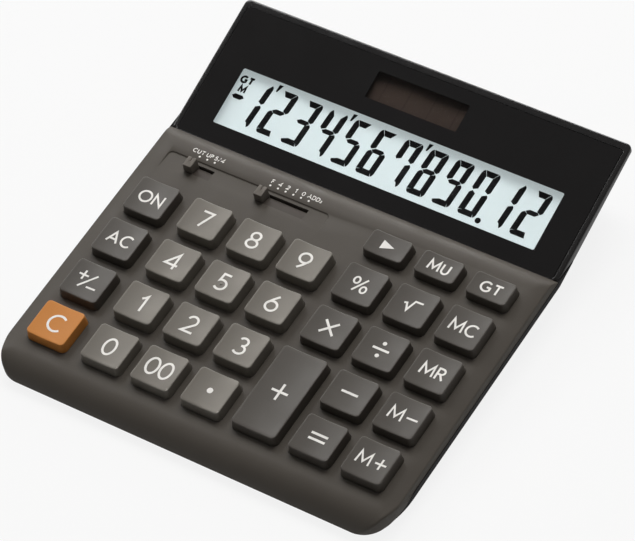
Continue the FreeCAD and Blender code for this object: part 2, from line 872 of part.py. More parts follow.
def lower_case():
    """Tray with a stepped rim, screw bosses, ribs, battery bay and foot seats."""
    band = prism(plan_wire(0.0, rear_y, -band_depth), FAR)
    outer = to_desk(band.fuse(keel(0.0, True)))
    hollow = to_desk(room(side_wall, -band_depth, FAR).fuse(keel(side_wall, False)))
    outer = outer.common(to_desk(side_hull(0.0))).common(box(-FAR, FAR, -FAR, FAR, base_z, FAR))
    hollow = hollow.common(to_desk(side_hull(side_wall)))
    below = to_desk(below_seam())
    shell = outer.cut(hollow.common(box(-FAR, FAR, -FAR, FAR, floor_top, FAR))).common(below)
    step = prism(plan_wire(side_wall - tongue_width - tongue_gap, rear_y, -2 * band_depth), FAR)
    step = step.common(above_seam(tongue_height + tongue_gap))
    step = step.common(box(-FAR, FAR, -FAR, crest_start, -FAR, FAR))
    shell = shell.cut(to_desk(step))
    inside = outer.common(box(-FAR, FAR, -FAR, FAR, base_z, FAR))
    adds = []
    cuts = []
    for x, y, joint in case_screw_places():
        adds.append(rod(boss_radius, x, y, base_z, joint))
        cuts.append(rod(case_head_radius + 0.3, x, y, -1.0, joint - case_web))
        cuts.append(rod(case_screw_radius + 0.2, x, y, -1.0, joint + 1.0))
    for x in rib_places:
        adds.append(rib(x))
    bay_top = bay_ceiling()
    bay_outer = (bay_width + 2 * bay_wall, bay_depth + 2 * bay_wall, bay_corner_radius + bay_wall)
    adds.append(slab(*bay_outer, bay_x, bay_y, base_z, bay_top + bay_wall))
    cuts.append(slab(bay_width, bay_depth, bay_corner_radius, bay_x, bay_y, -1.0, bay_top))
    adds.append(lid_plate(bay_wall, base_z, base_z + cover_thickness + bay_wall))
    cuts.append(lid_plate(0.0, -1.0, base_z + cover_thickness))
    x, y = cover_screw_place()
    shank_top = base_z + cover_head_recess + board_screw_shank + pilot_gap
    adds.append(rod(boss_radius, x, y, base_z, shank_top + bay_wall))
    cuts.append(rod(board_screw_radius + pilot_gap, x, y, -1.0, shank_top))
    for side in (-1, 1):
        lead_x = battery_lead_x(side)
        lead_z = battery_lead_z()
        half = lead_width / 2 + lead_gap
        front = bay_y - bay_depth / 2
        low = lead_z - lead_gap
        high = lead_z + lead_thickness + lead_gap
        cuts.append(box(lead_x - half, lead_x + half, front - 2 * bay_wall, front + bay_wall, low, high))
    for x in (-foot_x, foot_x):
        for y in (foot_front_y, foot_rear_y):
            cuts.append(rod(foot_radius + foot_gap, x, y, -1.0, base_z + foot_seat_depth, large_sides))
    shell = joined([shell] + [piece.common(inside) for piece in adds])
    return cut_all(shell, cuts)


def rib(x):
    """Upright rib on the floor that stops a little under the board."""
    front = board_height(rib_front) - rib_gap
    rear = board_height(rib_rear) - rib_gap
    return across_x(
        [(rib_front, base_z), (rib_rear, base_z), (rib_rear, rear), (rib_front, front)],
        x - rib_thickness / 2, x + rib_thickness / 2,
    )


def board_height(desk_y):
    """Height over the desk of the board's underside at a desk y."""
    start = on_deck(0, 0, board_bottom)
    return start.z + (desk_y - start.y) * math.tan(slope)


def cut_all(shape, tools):
    for tool in tools:
        shape = shape.cut(tool)
    return shape


# Display housing

def housing_profile(skin_top, skin_rear, front_extra):
    """Side view of the wedge that carries the display, less the given skins."""
    top_shift = V(0, math.sin(panel_angle), -math.cos(panel_angle)) * skin_top
    a = V(0, hinge_y - front_extra, hinge_z - front_extra * math.tan(panel_angle)) + top_shift
    b = V(0, rim_y, rim_z) + top_shift
    rear_run = V(0, rear_y - rim_y, seam_side_z - rim_z)
    inward = V(0, -1, 0) * skin_rear
    return a, b + inward, V(0, rear_y, seam_side_z) + inward, rear_run


def housing_block():
    """Outer wedge of the display housing above the joint line."""
    a, b, c, run = housing_profile(0.0, 0.0, 0.0)
    wedge = across_x([(a.y, a.z), (c.y, c.z), (b.y, b.z)])
    rise = rim_z - seam_side_z
    sides = leaning_sides(half_width - housing_side_inset, housing_side_lean, -2 * rise, 1.0)
    block = wedge.common(to_deck(sides))
    corners = []
    edges = []
    for edge in block.Edges:
        ends = [v.Point for v in edge.Vertexes]
        rears = [p.y > hinge_y + 5 for p in ends]
        if all(rears) and abs(ends[0].z - ends[1].z) > rise / 2:
            corners.append(edge)
    block = block.makeFillet(rear_corner_radius, corners)
    for edge in block.Edges:
        box_here = edge.BoundBox
        on_side = box_here.YLength > panel_length / 2 and box_here.ZLength > rise / 2
        on_rim = box_here.ZMin > rim_z - 2.5
        if on_side or on_rim:
            edges.append(edge)
    return block.makeFillet(housing_edge_round, edges)


def display_frame():
    """Housing shell with a recess for the window, two openings and screw bosses behind."""
    block = housing_block().common(side_hull(0.0))
    reach = half_width - side_wall - 0.5
    under = to_deck(box(-reach, reach, -apron_reach, cell_rear, ledge_bottom, 0.0))
    under = under.common(box(-FAR, FAR, -FAR, FAR, -FAR, seam_side_z))
    inner_half = half_width - housing_wall - housing_side_inset
    hollow = to_deck(box(-inner_half, inner_half, 0.0, 2 * panel_length, -FAR, ledge_bottom))
    hollow = hollow.common(box(-inner_half, inner_half, hinge_y, rear_y - housing_wall, -FAR, FAR))
    shell = block.cut(hollow.common(side_hull(housing_wall))).fuse(under)
    through = -lens_thickness - 4 * ledge_thickness
    view = to_deck(box(-view_width / 2, view_width / 2, view_front, view_rear, through, 1.0))
    sun_front = solar_centre - solar_view_depth / 2
    sun = to_deck(box(
        -solar_view_width / 2, solar_view_width / 2, sun_front, sun_front + solar_view_depth, through, 1.0,
    ))
    posts = []
    for x, s in holder_screw_places():
        posts.append(to_deck(rod(post_radius, x, s, cell_bottom, ledge_bottom + ledge_thickness / 3)))
    shell = joined([cut_all(shell, [window_plate(-lens_gap, ledge_top, 1.0), view, sun])] + posts)
    depth = cell_bottom - holder_thickness + board_screw_shank + pilot_gap
    for x, s in holder_screw_places():
        shell = shell.cut(to_deck(rod(board_screw_radius + pilot_gap, x, s, cell_bottom - 1.0, depth)))
    shell = to_desk(shell)
    cap = to_desk(to_deck(box(-inner_half, inner_half, 0.0, panel_length, -FAR, ledge_bottom + 0.6)))
    for place in case_screw_places()[4:]:
        boss = boss_above(place, FAR).common(cap)
        shell = shell.fuse(boss).cut(pilot_above(place))
    return shell


def window_plate(gap, low, high):
    """Window outline on the panel, with a gap that is positive inside the plate."""
    w = half_width - housing_side_inset - lens_side_margin - gap
    front = lens_front_margin + gap
    rear = panel_length - lens_rear_margin - gap
    radius = lens_corner_radius
    corners = [(-w, front, radius), (w, front, radius), (w, rear, radius), (-w, rear, radius)]
    return to_deck(prism(rounded_wire(corners, level(low)), high - low))


def display_lens():
    return window_plate(0.0, ledge_top, 0.0)


def lcd_cell():
    """Two bonded glass plates. The rear one stands out in front as the contact strip."""
    half = cell_width / 2
    front = box(-half, half, cell_front, cell_rear, cell_top - cell_glass, cell_top)
    rear = box(-half, half, cell_front - cell_contact_strip, cell_rear, cell_bottom, cell_top - cell_glass)
    return to_deck(front.fuse(rear))


def holder_screw_places():
    """(x, place along the panel) of each screw in the holder."""
    line = (holder_front + holder_screw_line, holder_rear - holder_screw_line)
    return [(x, s) for x in (-holder_screw_x, holder_screw_x) for s in line]


def lcd_holder():
    """Flat tray that clamps the display cell, with a rim at its rear and an opening in the middle."""
    top = cell_bottom
    low = top - holder_thickness
    middle = (holder_front + holder_rear) / 2
    half = cell_width / 2
    plate = slab(holder_width, holder_rear - holder_front, holder_corner_radius, 0.0, middle, low, top)
    rim = box(-half, half, cell_rear + cell_gap, cell_rear + cell_gap + holder_rim, top, cell_top)
    opening = slab(holder_slot_width, holder_slot_depth, holder_slot_radius, 0.0, middle, low - 1, top + 1)
    plate = plate.fuse(rim).cut(opening)
    for x, s in holder_screw_places():
        plate = plate.cut(rod(board_screw_radius + 0.2, x, s, low - 1, top + 1))
    return to_deck(plate)


def solar_cell():
    half = solar_width / 2
    front = solar_centre - solar_depth / 2
    top = ledge_bottom - cell_gap
    return to_deck(box(-half, half, front, front + solar_depth, top - solar_thickness, top))


# Board, contact sheet and display ribbon

def main_board():
    board = box(-board_width / 2, board_width / 2, board_front, board_rear, board_bottom, board_top)
    for x, y in post_places():
        board = board.cut(rod(board_screw_radius + 0.2, x, y, board_bottom - 1, board_top + 1))
    return board


def contact_sheet():
    """Rubber sheet on the board, with one dome under each key."""
    half = board_width / 2 - sheet_margin
    low = board_front + sheet_margin
    sheet = box(-half, half, low, board_rear - sheet_margin, board_top, sheet_top)
    left = recess_left + notch_left_inset
    right = recess_right - notch_right_inset
    sheet = sheet.cut(box(left, right, recess_front, board_rear, board_top - 1, sheet_top + 1))
    for x, y in post_places():
        sheet = sheet.cut(rod(post_radius + 0.3, x, y, board_top - 1, sheet_top + 1))
    domes = []
    for name in key_layout:
        x, y = key_centre(name)
        low = outline(2 * dome_base_radius, 2 * dome_base_radius, 0.6 * dome_base_radius, x, y)
        top_radius = dome_base_radius - dome_lean
        top = outline(2 * top_radius, 2 * top_radius, 0.6 * dome_base_radius - dome_lean, x, y)
        domes.append(tapered(low, top, sheet_top - 0.1, dome_top))
    return joined([sheet] + domes)


def controller_chip():
    """Low resin blob over the bare chip, on the underside of the board."""
    low = outline(2 * chip_radius, 2 * chip_radius, chip_radius - 0.5, chip_x, chip_y)
    narrow = chip_radius - chip_height
    top = outline(2 * narrow, 2 * narrow, narrow - 0.5, chip_x, chip_y)
    return tapered(top, low, board_bottom - chip_height, board_bottom)


def lcd_ribbon():
    """Flat film that joins the display's contact strip to the rear edge of the board."""
    t = ribbon_thickness
    pad = cell_top - cell_glass
    start = panel_point(cell_front - 0.3, pad)
    bend = panel_point(cell_front - cell_contact_strip - 1.2, pad)
    low = board_bottom - t
    line = [(start.y, start.z), (bend.y, bend.z), (board_rear - 0.6, low), (board_rear - 4.5, low)]
    upper = [(y, z + t) for y, z in line]
    film = across_x(line + upper[::-1], -ribbon_width / 2, ribbon_width / 2)
    return film


def panel_point(s, n):
    """Deck-frame point at s along the display panel and n out of it."""
    y = hinge_y + s * math.cos(panel_angle) - n * math.sin(panel_angle)
    z = hinge_z + s * math.sin(panel_angle) + n * math.cos(panel_angle)
    return V(0, y, z)


def flat_lead(points, x):
    """Strip of even thickness along a line of (y, z) points that runs forward, on the line's underside."""
    upper = []
    for i, point in enumerate(points):
        here = V(0, point[0], point[1])
        runs = []
        if i > 0:
            runs.append((here - V(0, points[i - 1][0], points[i - 1][1])).normalize())
        if i < len(points) - 1:
            runs.append((V(0, points[i + 1][0], points[i + 1][1]) - here).normalize())
        along = runs[0] if len(runs) == 1 else (runs[0] + runs[1]).normalize()
        aside = V(0, -along.z, along.y)
        stretch = lead_thickness / max(V(0, -runs[0].z, runs[0].y).dot(aside), 0.3)
        corner = here + aside * stretch
        upper.append((corner.y, corner.z))
    return across_x(list(points) + upper[::-1], x - lead_width / 2, x + lead_width / 2)


def solar_leads():
    """Two flat leads from the back of the solar cell, under the display cell, to the board."""
    start = panel_point(solar_centre, ledge_bottom - cell_gap - solar_thickness)
    line = [
        (start.y + 1.0, start.z - 0.1), (start.y + 1.0, start.z - lead_drop),
        (start.y - lead_low_run, board_bottom - lead_clearance),
        (board_rear - lead_board_overhang, board_bottom - lead_board_drop),
        (board_rear - lead_board_land, board_bottom),
    ]
    return Part.makeCompound([flat_lead(line, x) for x in (-lead_spread, lead_spread)])


# Battery bay

def bay_ceiling():
    return base_z + cover_thickness + cell_lift + cell_battery_height + bay_head_room


def battery_place():
    return bay_x, bay_y


def lid_plate(grow, z0, z1):
    """Plan of the battery cover, with a land for its screw on the right."""
    width = bay_width + 2 * cover_ledge + cover_land + 2 * grow
    depth = bay_depth + 2 * cover_ledge + 2 * grow
    return slab(width, depth, cover_corner_radius, bay_x + cover_land / 2, bay_y, z0, z1)


def cover_screw_place():
    return bay_x + bay_width / 2 + cover_ledge + cover_land / 2 - cover_screw_inset, bay_y


def battery_cell():
    x, y = battery_place()
    low = base_z + cover_thickness + cell_lift
    shoulder = low + cell_battery_height - 0.8
    can = Part.makeCylinder(cell_battery_radius, shoulder - low, V(x, y, low))
    return can.fuse(rod(cell_battery_radius - 0.9, x, y, shoulder, low + cell_battery_height, large_sides))


def battery_cover():
    """Flush lid with a countersunk screw hole in its land and a thumb groove on the left."""
    lid = lid_plate(-cover_gap, base_z, base_z + cover_thickness)
    x, y = cover_screw_place()
    lid = lid.cut(rod(board_screw_radius + 0.2, x, y, -1.0, base_z + 2 * cover_thickness))
    lid = lid.cut(rod(board_head_radius + 0.2, x, y, -1.0, base_z + cover_head_recess))
    groove_x = bay_x - bay_width / 2 + 2.0
    half = cover_groove_width / 2
    reach = cover_groove_length / 2
    groove_top = base_z + cover_groove_depth
    return lid.cut(box(groove_x - half, groove_x + half, bay_y - reach, bay_y + reach, -1.0, groove_top))


def battery_contact_positive():
    """Bowed leaf that presses on the side of the battery."""
    x, y = battery_place()
    face = x - cell_battery_radius - 0.05
    wall = bay_x - bay_width / 2 + 0.05
    low = base_z + cover_thickness + 0.6
    top = bay_ceiling() - 0.05
    middle = (low + top) / 2
    half = contact_width / 2
    t = contact_thickness
    bow = 0.6
    leaf = [(wall, low), (wall + t, low), (face, middle - bow), (face, middle + bow)]
    leaf += [(wall + t, top), (wall, top)]
    back = [(face - t, middle + bow), (face - t, middle - bow)]
    points = [V(a, y - half, b) for a, b in leaf + back]
    return Part.Face(Part.makePolygon(points + points[:1])).extrude(V(0, contact_width, 0))


def battery_contact_negative():
    """Leaf that springs from the roof of the bay onto the battery's cap."""
    x, y = battery_place()
    roof = bay_ceiling() - 0.05
    cap = base_z + cover_thickness + cell_lift + cell_battery_height + 0.05
    t = contact_thickness
    half = contact_width / 2
    end = bay_x + bay_width / 2 - 0.3
    leaf = [(x - 3.0, cap), (x + 1.0, cap), (x + 5.0, roof - t), (end, roof - t), (end, roof)]
    back = [(x + 4.8, roof), (x + 0.8, cap + t), (x - 3.0, cap + t)]
    points = [V(a, y - half, b) for a, b in leaf + back]
    return Part.Face(Part.makePolygon(points + points[:1])).extrude(V(0, contact_width, 0))


def battery_lead_x(side):
    return bay_x + side * (bay_width / 2 - 1.6)


def battery_lead_z():
    return bay_ceiling() - contact_thickness - lead_thickness - 0.8


def battery_leads():
    """Two flat leads from the contacts, through the front wall of the bay, to the board."""
    z = battery_lead_z()
    wall_y = bay_y - bay_depth / 2 - bay_wall
    start = bay_y - contact_width / 2
    end = on_deck(0, board_rear - lead_board_land, board_bottom)
    low = on_deck(0, board_rear - lead_board_overhang, board_bottom)
    under_board = low.z - lead_board_drop
    line = [
        (start, z + lead_thickness), (wall_y - 1.5, z + lead_thickness),
        (wall_y - 3.0, under_board), (low.y, under_board), (end.y, end.z),
    ]
    return Part.makeCompound([flat_lead(line, battery_lead_x(side)) for side in (-1, 1)])


# Screws and feet

def screw(radius, shank, head_radius, head_height):
    """Screw that points up, with its head's upper face at z 0."""
    return rod(radius, 0, 0, 0, shank).fuse(rod(head_radius, 0, 0, -head_height, 0))


def moved(shape, x, y, z):
    copy = shape.copy()
    copy.translate(V(x, y, z))
    return copy


def case_screws():
    one = screw(case_screw_radius, case_screw_shank, case_head_radius, case_head_height)
    return Part.makeCompound([moved(one, x, y, joint - case_web) for x, y, joint in case_screw_places()])


def board_screws():
    one = screw(board_screw_radius, board_screw_shank, board_head_radius, board_head_height)
    return to_desk(Part.makeCompound([moved(one, x, y, board_bottom) for x, y in post_places()]))


def holder_screws():
    one = screw(board_screw_radius, board_screw_shank, board_head_radius, board_head_height)
    seat = cell_bottom - holder_thickness
    return to_desk(to_deck(Part.makeCompound([moved(one, x, s, seat) for x, s in holder_screw_places()])))


def battery_cover_screw():
    one = screw(board_screw_radius, board_screw_shank, board_head_radius, board_head_height)
    x, y = cover_screw_place()
    return moved(one, x, y, base_z + cover_head_recess)


def rubber_feet():
    feet = []
    for x in (-foot_x, foot_x):
        for y in (foot_front_y, foot_rear_y):
            feet.append(rod(foot_radius, x, y, 0.0, base_z + foot_seat_depth, large_sides))
    return Part.makeCompound(feet)


# Build every node

for name in key_layout:
    save(name, to_desk(key_shape(name)))
save("rounding_knob", to_desk(selector_knob(rounding_start_x)))
save("decimal_knob", to_desk(selector_knob(decimal_start_x)))
save("rounding_wiper", to_desk(selector_wiper(rounding_start_x)))
save("decimal_wiper", to_desk(selector_wiper(decimal_start_x)))
save("upper_case", upper_case())
save("lower_case", lower_case())
save("display_frame", display_frame())
save("display_lens", to_desk(display_lens()))
save("lcd_cell", to_desk(lcd_cell()))
save("lcd_holder", to_desk(lcd_holder()))
save("lcd_ribbon", to_desk(lcd_ribbon()))
save("solar_cell", to_desk(solar_cell()))
save("solar_leads", to_desk(solar_leads()))
save("main_board", to_desk(main_board()))
save("contact_sheet", to_desk(contact_sheet()))
save("controller_chip", to_desk(controller_chip()))
save("battery_cell", battery_cell())
save("battery_cover", battery_cover())
save("battery_contact_positive", battery_contact_positive())
save("battery_contact_negative", battery_contact_negative())
save("battery_leads", battery_leads())
save("battery_cover_screw", battery_cover_screw())
save("case_screws", case_screws())
save("board_screws", board_screws())
save("holder_screws", holder_screws())
save("rubber_feet", rubber_feet())
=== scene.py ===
"""Looks of a desktop calculator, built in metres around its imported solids.

Sizes in the classes are millimetres on the keyboard deck, where y is 0 at the front edge of the
bottom row of keys and z is 0 on the deck, or millimetres on the display panel, where y runs up the
panel from its hinge line and z stands out of it.
"""
import json
import logging
import math
from dataclasses import dataclass, field
from enum import Enum
from typing import Callable, Iterable, Sequence

import bmesh
import bpy
import numpy as np
from mathutils import Matrix, Vector
from mathutils.geometry import delaunay_2d_cdt


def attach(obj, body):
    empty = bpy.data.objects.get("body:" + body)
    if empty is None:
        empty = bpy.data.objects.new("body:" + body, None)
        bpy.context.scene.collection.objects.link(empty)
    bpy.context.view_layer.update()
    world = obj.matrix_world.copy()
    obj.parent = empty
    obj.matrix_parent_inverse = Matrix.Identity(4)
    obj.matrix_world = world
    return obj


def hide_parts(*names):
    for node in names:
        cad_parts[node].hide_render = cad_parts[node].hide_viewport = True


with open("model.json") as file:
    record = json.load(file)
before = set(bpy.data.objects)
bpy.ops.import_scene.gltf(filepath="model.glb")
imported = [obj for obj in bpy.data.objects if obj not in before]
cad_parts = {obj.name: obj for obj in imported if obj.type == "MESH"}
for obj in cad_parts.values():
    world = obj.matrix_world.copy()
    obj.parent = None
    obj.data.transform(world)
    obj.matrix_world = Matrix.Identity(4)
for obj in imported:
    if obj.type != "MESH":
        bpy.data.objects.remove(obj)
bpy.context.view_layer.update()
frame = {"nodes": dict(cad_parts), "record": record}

LOG = logging.getLogger("calculator")
MM = 0.001
CASE = "case"
CREASE = 38.0

Point2 = tuple[float, float]
Point3 = tuple[float, float, float]
Span = tuple[float, float, float, float]
Place = Callable[[Point3], Vector]


# Frames


@dataclass(frozen=True)
class Stance:
    """How the deck and the display panel stand over the desk."""

    slope: float = 4.0
    deck_height: float = 9.4
    half_width: float = 75.3
    front_y: float = -13.707
    seam_front_z: float = -5.7
    seam_side_z: float = -3.0
    hinge_y: float = 95.3
    hinge_z: float = -3.0
    panel_slope: float = 13.2
    panel_length: float = 52.85
    side_edge: float = 75.15
    side_lean: float = 17.0
    side_radius: float = 32.0
    front_radius: float = 9.0
    split: float = 25.0
    seam_rise: float = 6.0
    rear_steps: int = 30
    side_steps: int = 12
    corner_steps: int = 18
    front_steps: int = 26

    @property
    def reach(self) -> tuple[float, float]:
        """Front and rear ends of the body, before it is centred over the desk's origin.

        Returns:
            The places of both ends along the desk.
        """
        lean, tilt = math.radians(self.slope), math.radians(self.panel_slope)
        rim_y = self.hinge_y + self.panel_length * math.cos(tilt)
        rim_z = self.hinge_z + self.panel_length * math.sin(tilt)
        front = self.front_y * math.cos(lean) - self.seam_front_z * math.sin(lean)
        return front, rim_y * math.cos(lean) - rim_z * math.sin(lean)

    @property
    def depth_shift(self) -> float:
        """Shift that centres the body over the desk's origin."""
        return -sum(self.reach) / 2

    @property
    def half_depth(self) -> float:
        """Half of the body's depth over the desk."""
        return (self.reach[1] - self.reach[0]) / 2

    def side_plane(self, x: float) -> float:
        """Height of the leaning side face over a place across the body."""
        return self.seam_side_z + (self.side_edge - abs(x)) / math.tan(math.radians(self.side_lean))

    @property
    def corner_centres(self) -> tuple[Point2, Point2]:
        """Centres of both arcs in the right front corner.

        Returns:
            The centre of the side arc and that of the front arc.
        """
        turn = math.radians(self.split)
        gap = self.side_radius - self.front_radius
        front = self.front_y + self.front_radius
        side = (self.half_width - self.side_radius, front + gap * math.sin(turn))
        return side, (side[0] + gap * math.cos(turn), front)

    def inset(self, x: float, y: float) -> float:
        """Distance of a point inside the body's plan from its front and side edges.

        Args:
            x: Place across the body.
            y: Place along the deck.

        Returns:
            The distance, less than 0 outside the plan.
        """
        across = abs(x)
        straight = min(self.half_width - across, y - self.front_y)
        radii = (self.side_radius, self.front_radius)
        starts, ends = (-self.split, -90.0), (0.0, -self.split)
        for (cx, cy), radius, start, end in zip(self.corner_centres, radii, starts, ends):
            angle = math.degrees(math.atan2(y - cy, across - cx))
            if start <= angle <= end:
                return min(straight, radius - math.hypot(across - cx, y - cy))
        return straight

    def edge_line(self, inset: float, rear: float) -> list[Point2]:
        """Line along the left, front and right edges of the plan, drawn in by inset.

        Args:
            inset: How far the line is drawn in.
            rear: Where both ends of the line stop on the deck.

        Returns:
            The points, from the left rear round the front to the right rear.
        """
        w = self.half_width - inset
        front = self.front_y + inset
        side, tight = self.corner_centres
        run = np.linspace(rear, side[1], self.rear_steps)
        right = [(w, float(y)) for y in run[:-1]]
        wide, small = self.side_radius - inset, self.front_radius - inset
        right += arc(*side, wide, wide, 0, -self.split, self.side_steps)[:-1]
        right += arc(*tight, small, small, -self.split, -90, self.corner_steps)
        right = [(min(x, self.side_edge - inset), y) for x, y in right]
        left = [(-x, y) for x, y in right]
        across = np.linspace(-tight[0], tight[0], self.front_steps)[1:-1]
        return left + [(float(x), front) for x in across] + right[::-1]

    def deck(self, point: Point3) -> Vector:
        """Point of the deck, over the desk in metres.

        Args:
            point: (x, y, z) on the deck, in millimetres.

        Returns:
            The same point over the desk, in metres.
        """
        x, y, z = point
        lean = math.radians(self.slope)
        across = y * math.cos(lean) - z * math.sin(lean) + self.depth_shift
        up = y * math.sin(lean) + z * math.cos(lean) + self.deck_height
        return Vector((x, across, up)) * MM

    def panel(self, point: Point3) -> Vector:
        """Point of the display panel, over the desk in metres.

        Args:
            point: Place across, place up the panel and height over it, in millimetres.

        Returns:
            The same point over the desk, in metres.
        """
        x, s, n = point
        tilt = math.radians(self.panel_slope)
        y = self.hinge_y + s * math.cos(tilt) - n * math.sin(tilt)
        z = self.hinge_z + s * math.sin(tilt) + n * math.cos(tilt)
        return self.deck((x, y, z))

    def desk(self, point: Point3) -> Vector:
        """Point over the desk, in metres."""
        return Vector(point) * MM

    def seam_z(self, y: float) -> float:
        """Height of the joint line between the two shells at y on the deck."""
        share = min(max((y + self.seam_rise) / (2 * self.seam_rise), 0.0), 1.0)
        return self.seam_front_z + share * (self.seam_side_z - self.seam_front_z)


STANCE = Stance()


# Outlines


def arc(
    cx: float, cy: float, rx: float, ry: float, start: float, end: float, steps: int = 14,
) -> list[Point2]:
    """Points along an ellipse arc.

    Args:
        cx, cy: Centre.
        rx, ry: Half sizes.
        start, end: Angles in degrees, counterclockwise from the right.
        steps: Straight steps along the arc.

    Returns:
        The points from start to end.
    """
    turn = [math.radians(start + (end - start) * i / steps) for i in range(steps + 1)]
    return [(cx + rx * math.cos(a), cy + ry * math.sin(a)) for a in turn]


def rounded_ring(width: float, depth: float, radius: float, corner: int = 6, side: int = 1) -> list[Point2]:
    """Points of a rounded rectangle about the origin.

    Args:
        width, depth: Full sizes.
        radius: Corner radius.
        corner: Straight steps in each corner.
        side: Straight steps along each side.

    Returns:
        The points, counterclockwise, with the same count for every size.
    """
    ring: list[Point2] = []
    for quarter, (right, rear) in enumerate(((1, 1), (-1, 1), (-1, -1), (1, -1))):
        cx = right * (width / 2 - radius)
        cy = rear * (depth / 2 - radius)
        bend = arc(cx, cy, radius, radius, 90 * quarter, 90 * quarter + 90, corner)
        if ring:
            ring += between(ring[-1], bend[0], side)
        ring += bend
    return ring + between(ring[-1], ring[0], side)


def between(a: Point2, b: Point2, steps: int) -> list[Point2]:
    """Points strictly between a and b, for steps even steps."""
    return [(a[0] + (b[0] - a[0]) * i / steps, a[1] + (b[1] - a[1]) * i / steps) for i in range(1, steps)]


def shifted(points: Iterable[Point2], x: float, y: float) -> list[Point2]:
    """Points moved by (x, y)."""
    return [(a + x, b + y) for a, b in points]


# Meshes


class Draft:
    """Points and faces of one piece, gathered before they become a mesh."""

    def __init__(self) -> None:
        """Start with nothing drawn."""
        self.points: list[Point3] = []
        self.faces: list[list[int]] = []
        self.paints: list[int] = []

    def ring(self, points: Iterable[Point3]) -> list[int]:
        """Add points and return their numbers.

        Args:
            points: The points to add.

        Returns:
            Their numbers, in the same order.
        """
        start = len(self.points)
        self.points += list(points)
        return list(range(start, len(self.points)))

    def face(self, ids: Sequence[int], paint: int = 0) -> None:
        """Add one face, counterclockwise from outside."""
        self.faces.append(list(ids))
        self.paints.append(paint)

    def bridge(self, low: Sequence[int], high: Sequence[int], paint: int = 0, closed: bool = True) -> None:
        """Join two rings of the same count, the lower one first for faces that look outward.

        Args:
            low: Numbers of the lower ring, counterclockwise from above.
            high: Numbers of the upper ring.
            paint: Paint number of the faces.
            closed: Whether the rings close on themselves.
        """
        count = len(low)
        for i in range(count if closed else count - 1):
            j = (i + 1) % count
            self.face((low[i], low[j], high[j], high[i]), paint)

    def fan(self, ring: Sequence[int], centre: Point3, paint: int = 0) -> None:
        """Close a ring onto one middle point.

        Args:
            ring: Numbers of the ring, counterclockwise from outside.
            centre: The middle point.
            paint: Paint number of the faces.
        """
        middle = self.ring([centre])[0]
        for i, here in enumerate(ring):
            self.face((here, ring[(i + 1) % len(ring)], middle), paint)

    def prism(self, points: Sequence[Point2], low: Callable, high: Callable, paint: int = 0) -> None:
        """Closed prism between two surfaces over a convex outline, counterclockwise.

        Args:
            points: The outline.
            low: Height of the lower surface at (x, y).
            high: Height of the upper surface at (x, y).
            paint: Paint number of the faces.
        """
        bottom = self.ring((x, y, low(x, y)) for x, y in points)
        top = self.ring((x, y, high(x, y)) for x, y in points)
        self.bridge(bottom, top, paint)
        self.face(top, paint)
        self.face(bottom[::-1], paint)

    def piece(
        self, name: str, place: Place, finishes: Sequence["Finish"], crease: float = CREASE,
    ) -> bpy.types.Object:
        """Make the object.

        Args:
            name: Name of the piece.
            place: Takes a drawn point to metres over the desk.
            finishes: One finish for each paint number.
            crease: Edges that turn more than this many degrees stay sharp.

        Returns:
            The linked object.
        """
        mesh = bpy.data.meshes.new(name)
        mesh.from_pydata([place(p) for p in self.points], [], self.faces)
        mesh.polygons.foreach_set("material_index", self.paints)
        for finish in finishes:
            mesh.materials.append(finish.material())
        smooth(mesh, crease)
        mesh.validate()
        obj = bpy.data.objects.new(name, mesh)
        bpy.context.scene.collection.objects.link(obj)
        return obj


def smooth(mesh: bpy.types.Mesh, crease: float) -> None:
    """Shade a mesh smoothly, apart from edges that turn more than crease degrees.

    Args:
        mesh: The mesh to shade.
        crease: Edges that turn more than this many degrees stay sharp.
    """
    mesh.polygons.foreach_set("use_smooth", [True] * len(mesh.polygons))
    mesh.set_sharp_from_angle(angle=math.radians(crease))
    mesh.update()


def lathe(
    draft: Draft, profile: Sequence[Point2], x: float, y: float, sides: int = 40, paint: int = 0,
) -> None:
    """Turn a (radius, height) profile about an upright axis, from its lower end to its upper end.

    Args:
        draft: Draft that takes the turned form.
        profile: (radius, height) points from the lower end.
        x, y: Place of the axis.
        sides: Faces round the axis.
        paint: Paint number of the faces.
    """
    rings = []
    for radius, height in profile:
        turn = [2 * math.pi * i / sides for i in range(sides)]
        rings.append(draft.ring((x + radius * math.cos(a), y + radius * math.sin(a), height) for a in turn))
    for low, high in zip(rings, rings[1:]):
        draft.bridge(low, high, paint)
    draft.face(rings[0][::-1], paint)
    draft.face(rings[-1], paint)


# Shared shader groups


def linear(colour: Sequence[float]) -> tuple[float, float, float, float]:
    """Colour as eyes see it, 0 to 255, as the linear colour that shaders take.

    Args:
        colour: Red, green and blue, 0 to 255.

    Returns:
        The linear colour, with full cover.
    """
    share = [c / 255 for c in colour]
    flat = [c / 12.92 if c <= 0.04045 else ((c + 0.055) / 1.055) ** 2.4 for c in share]
    return flat[0], flat[1], flat[2], 1.0


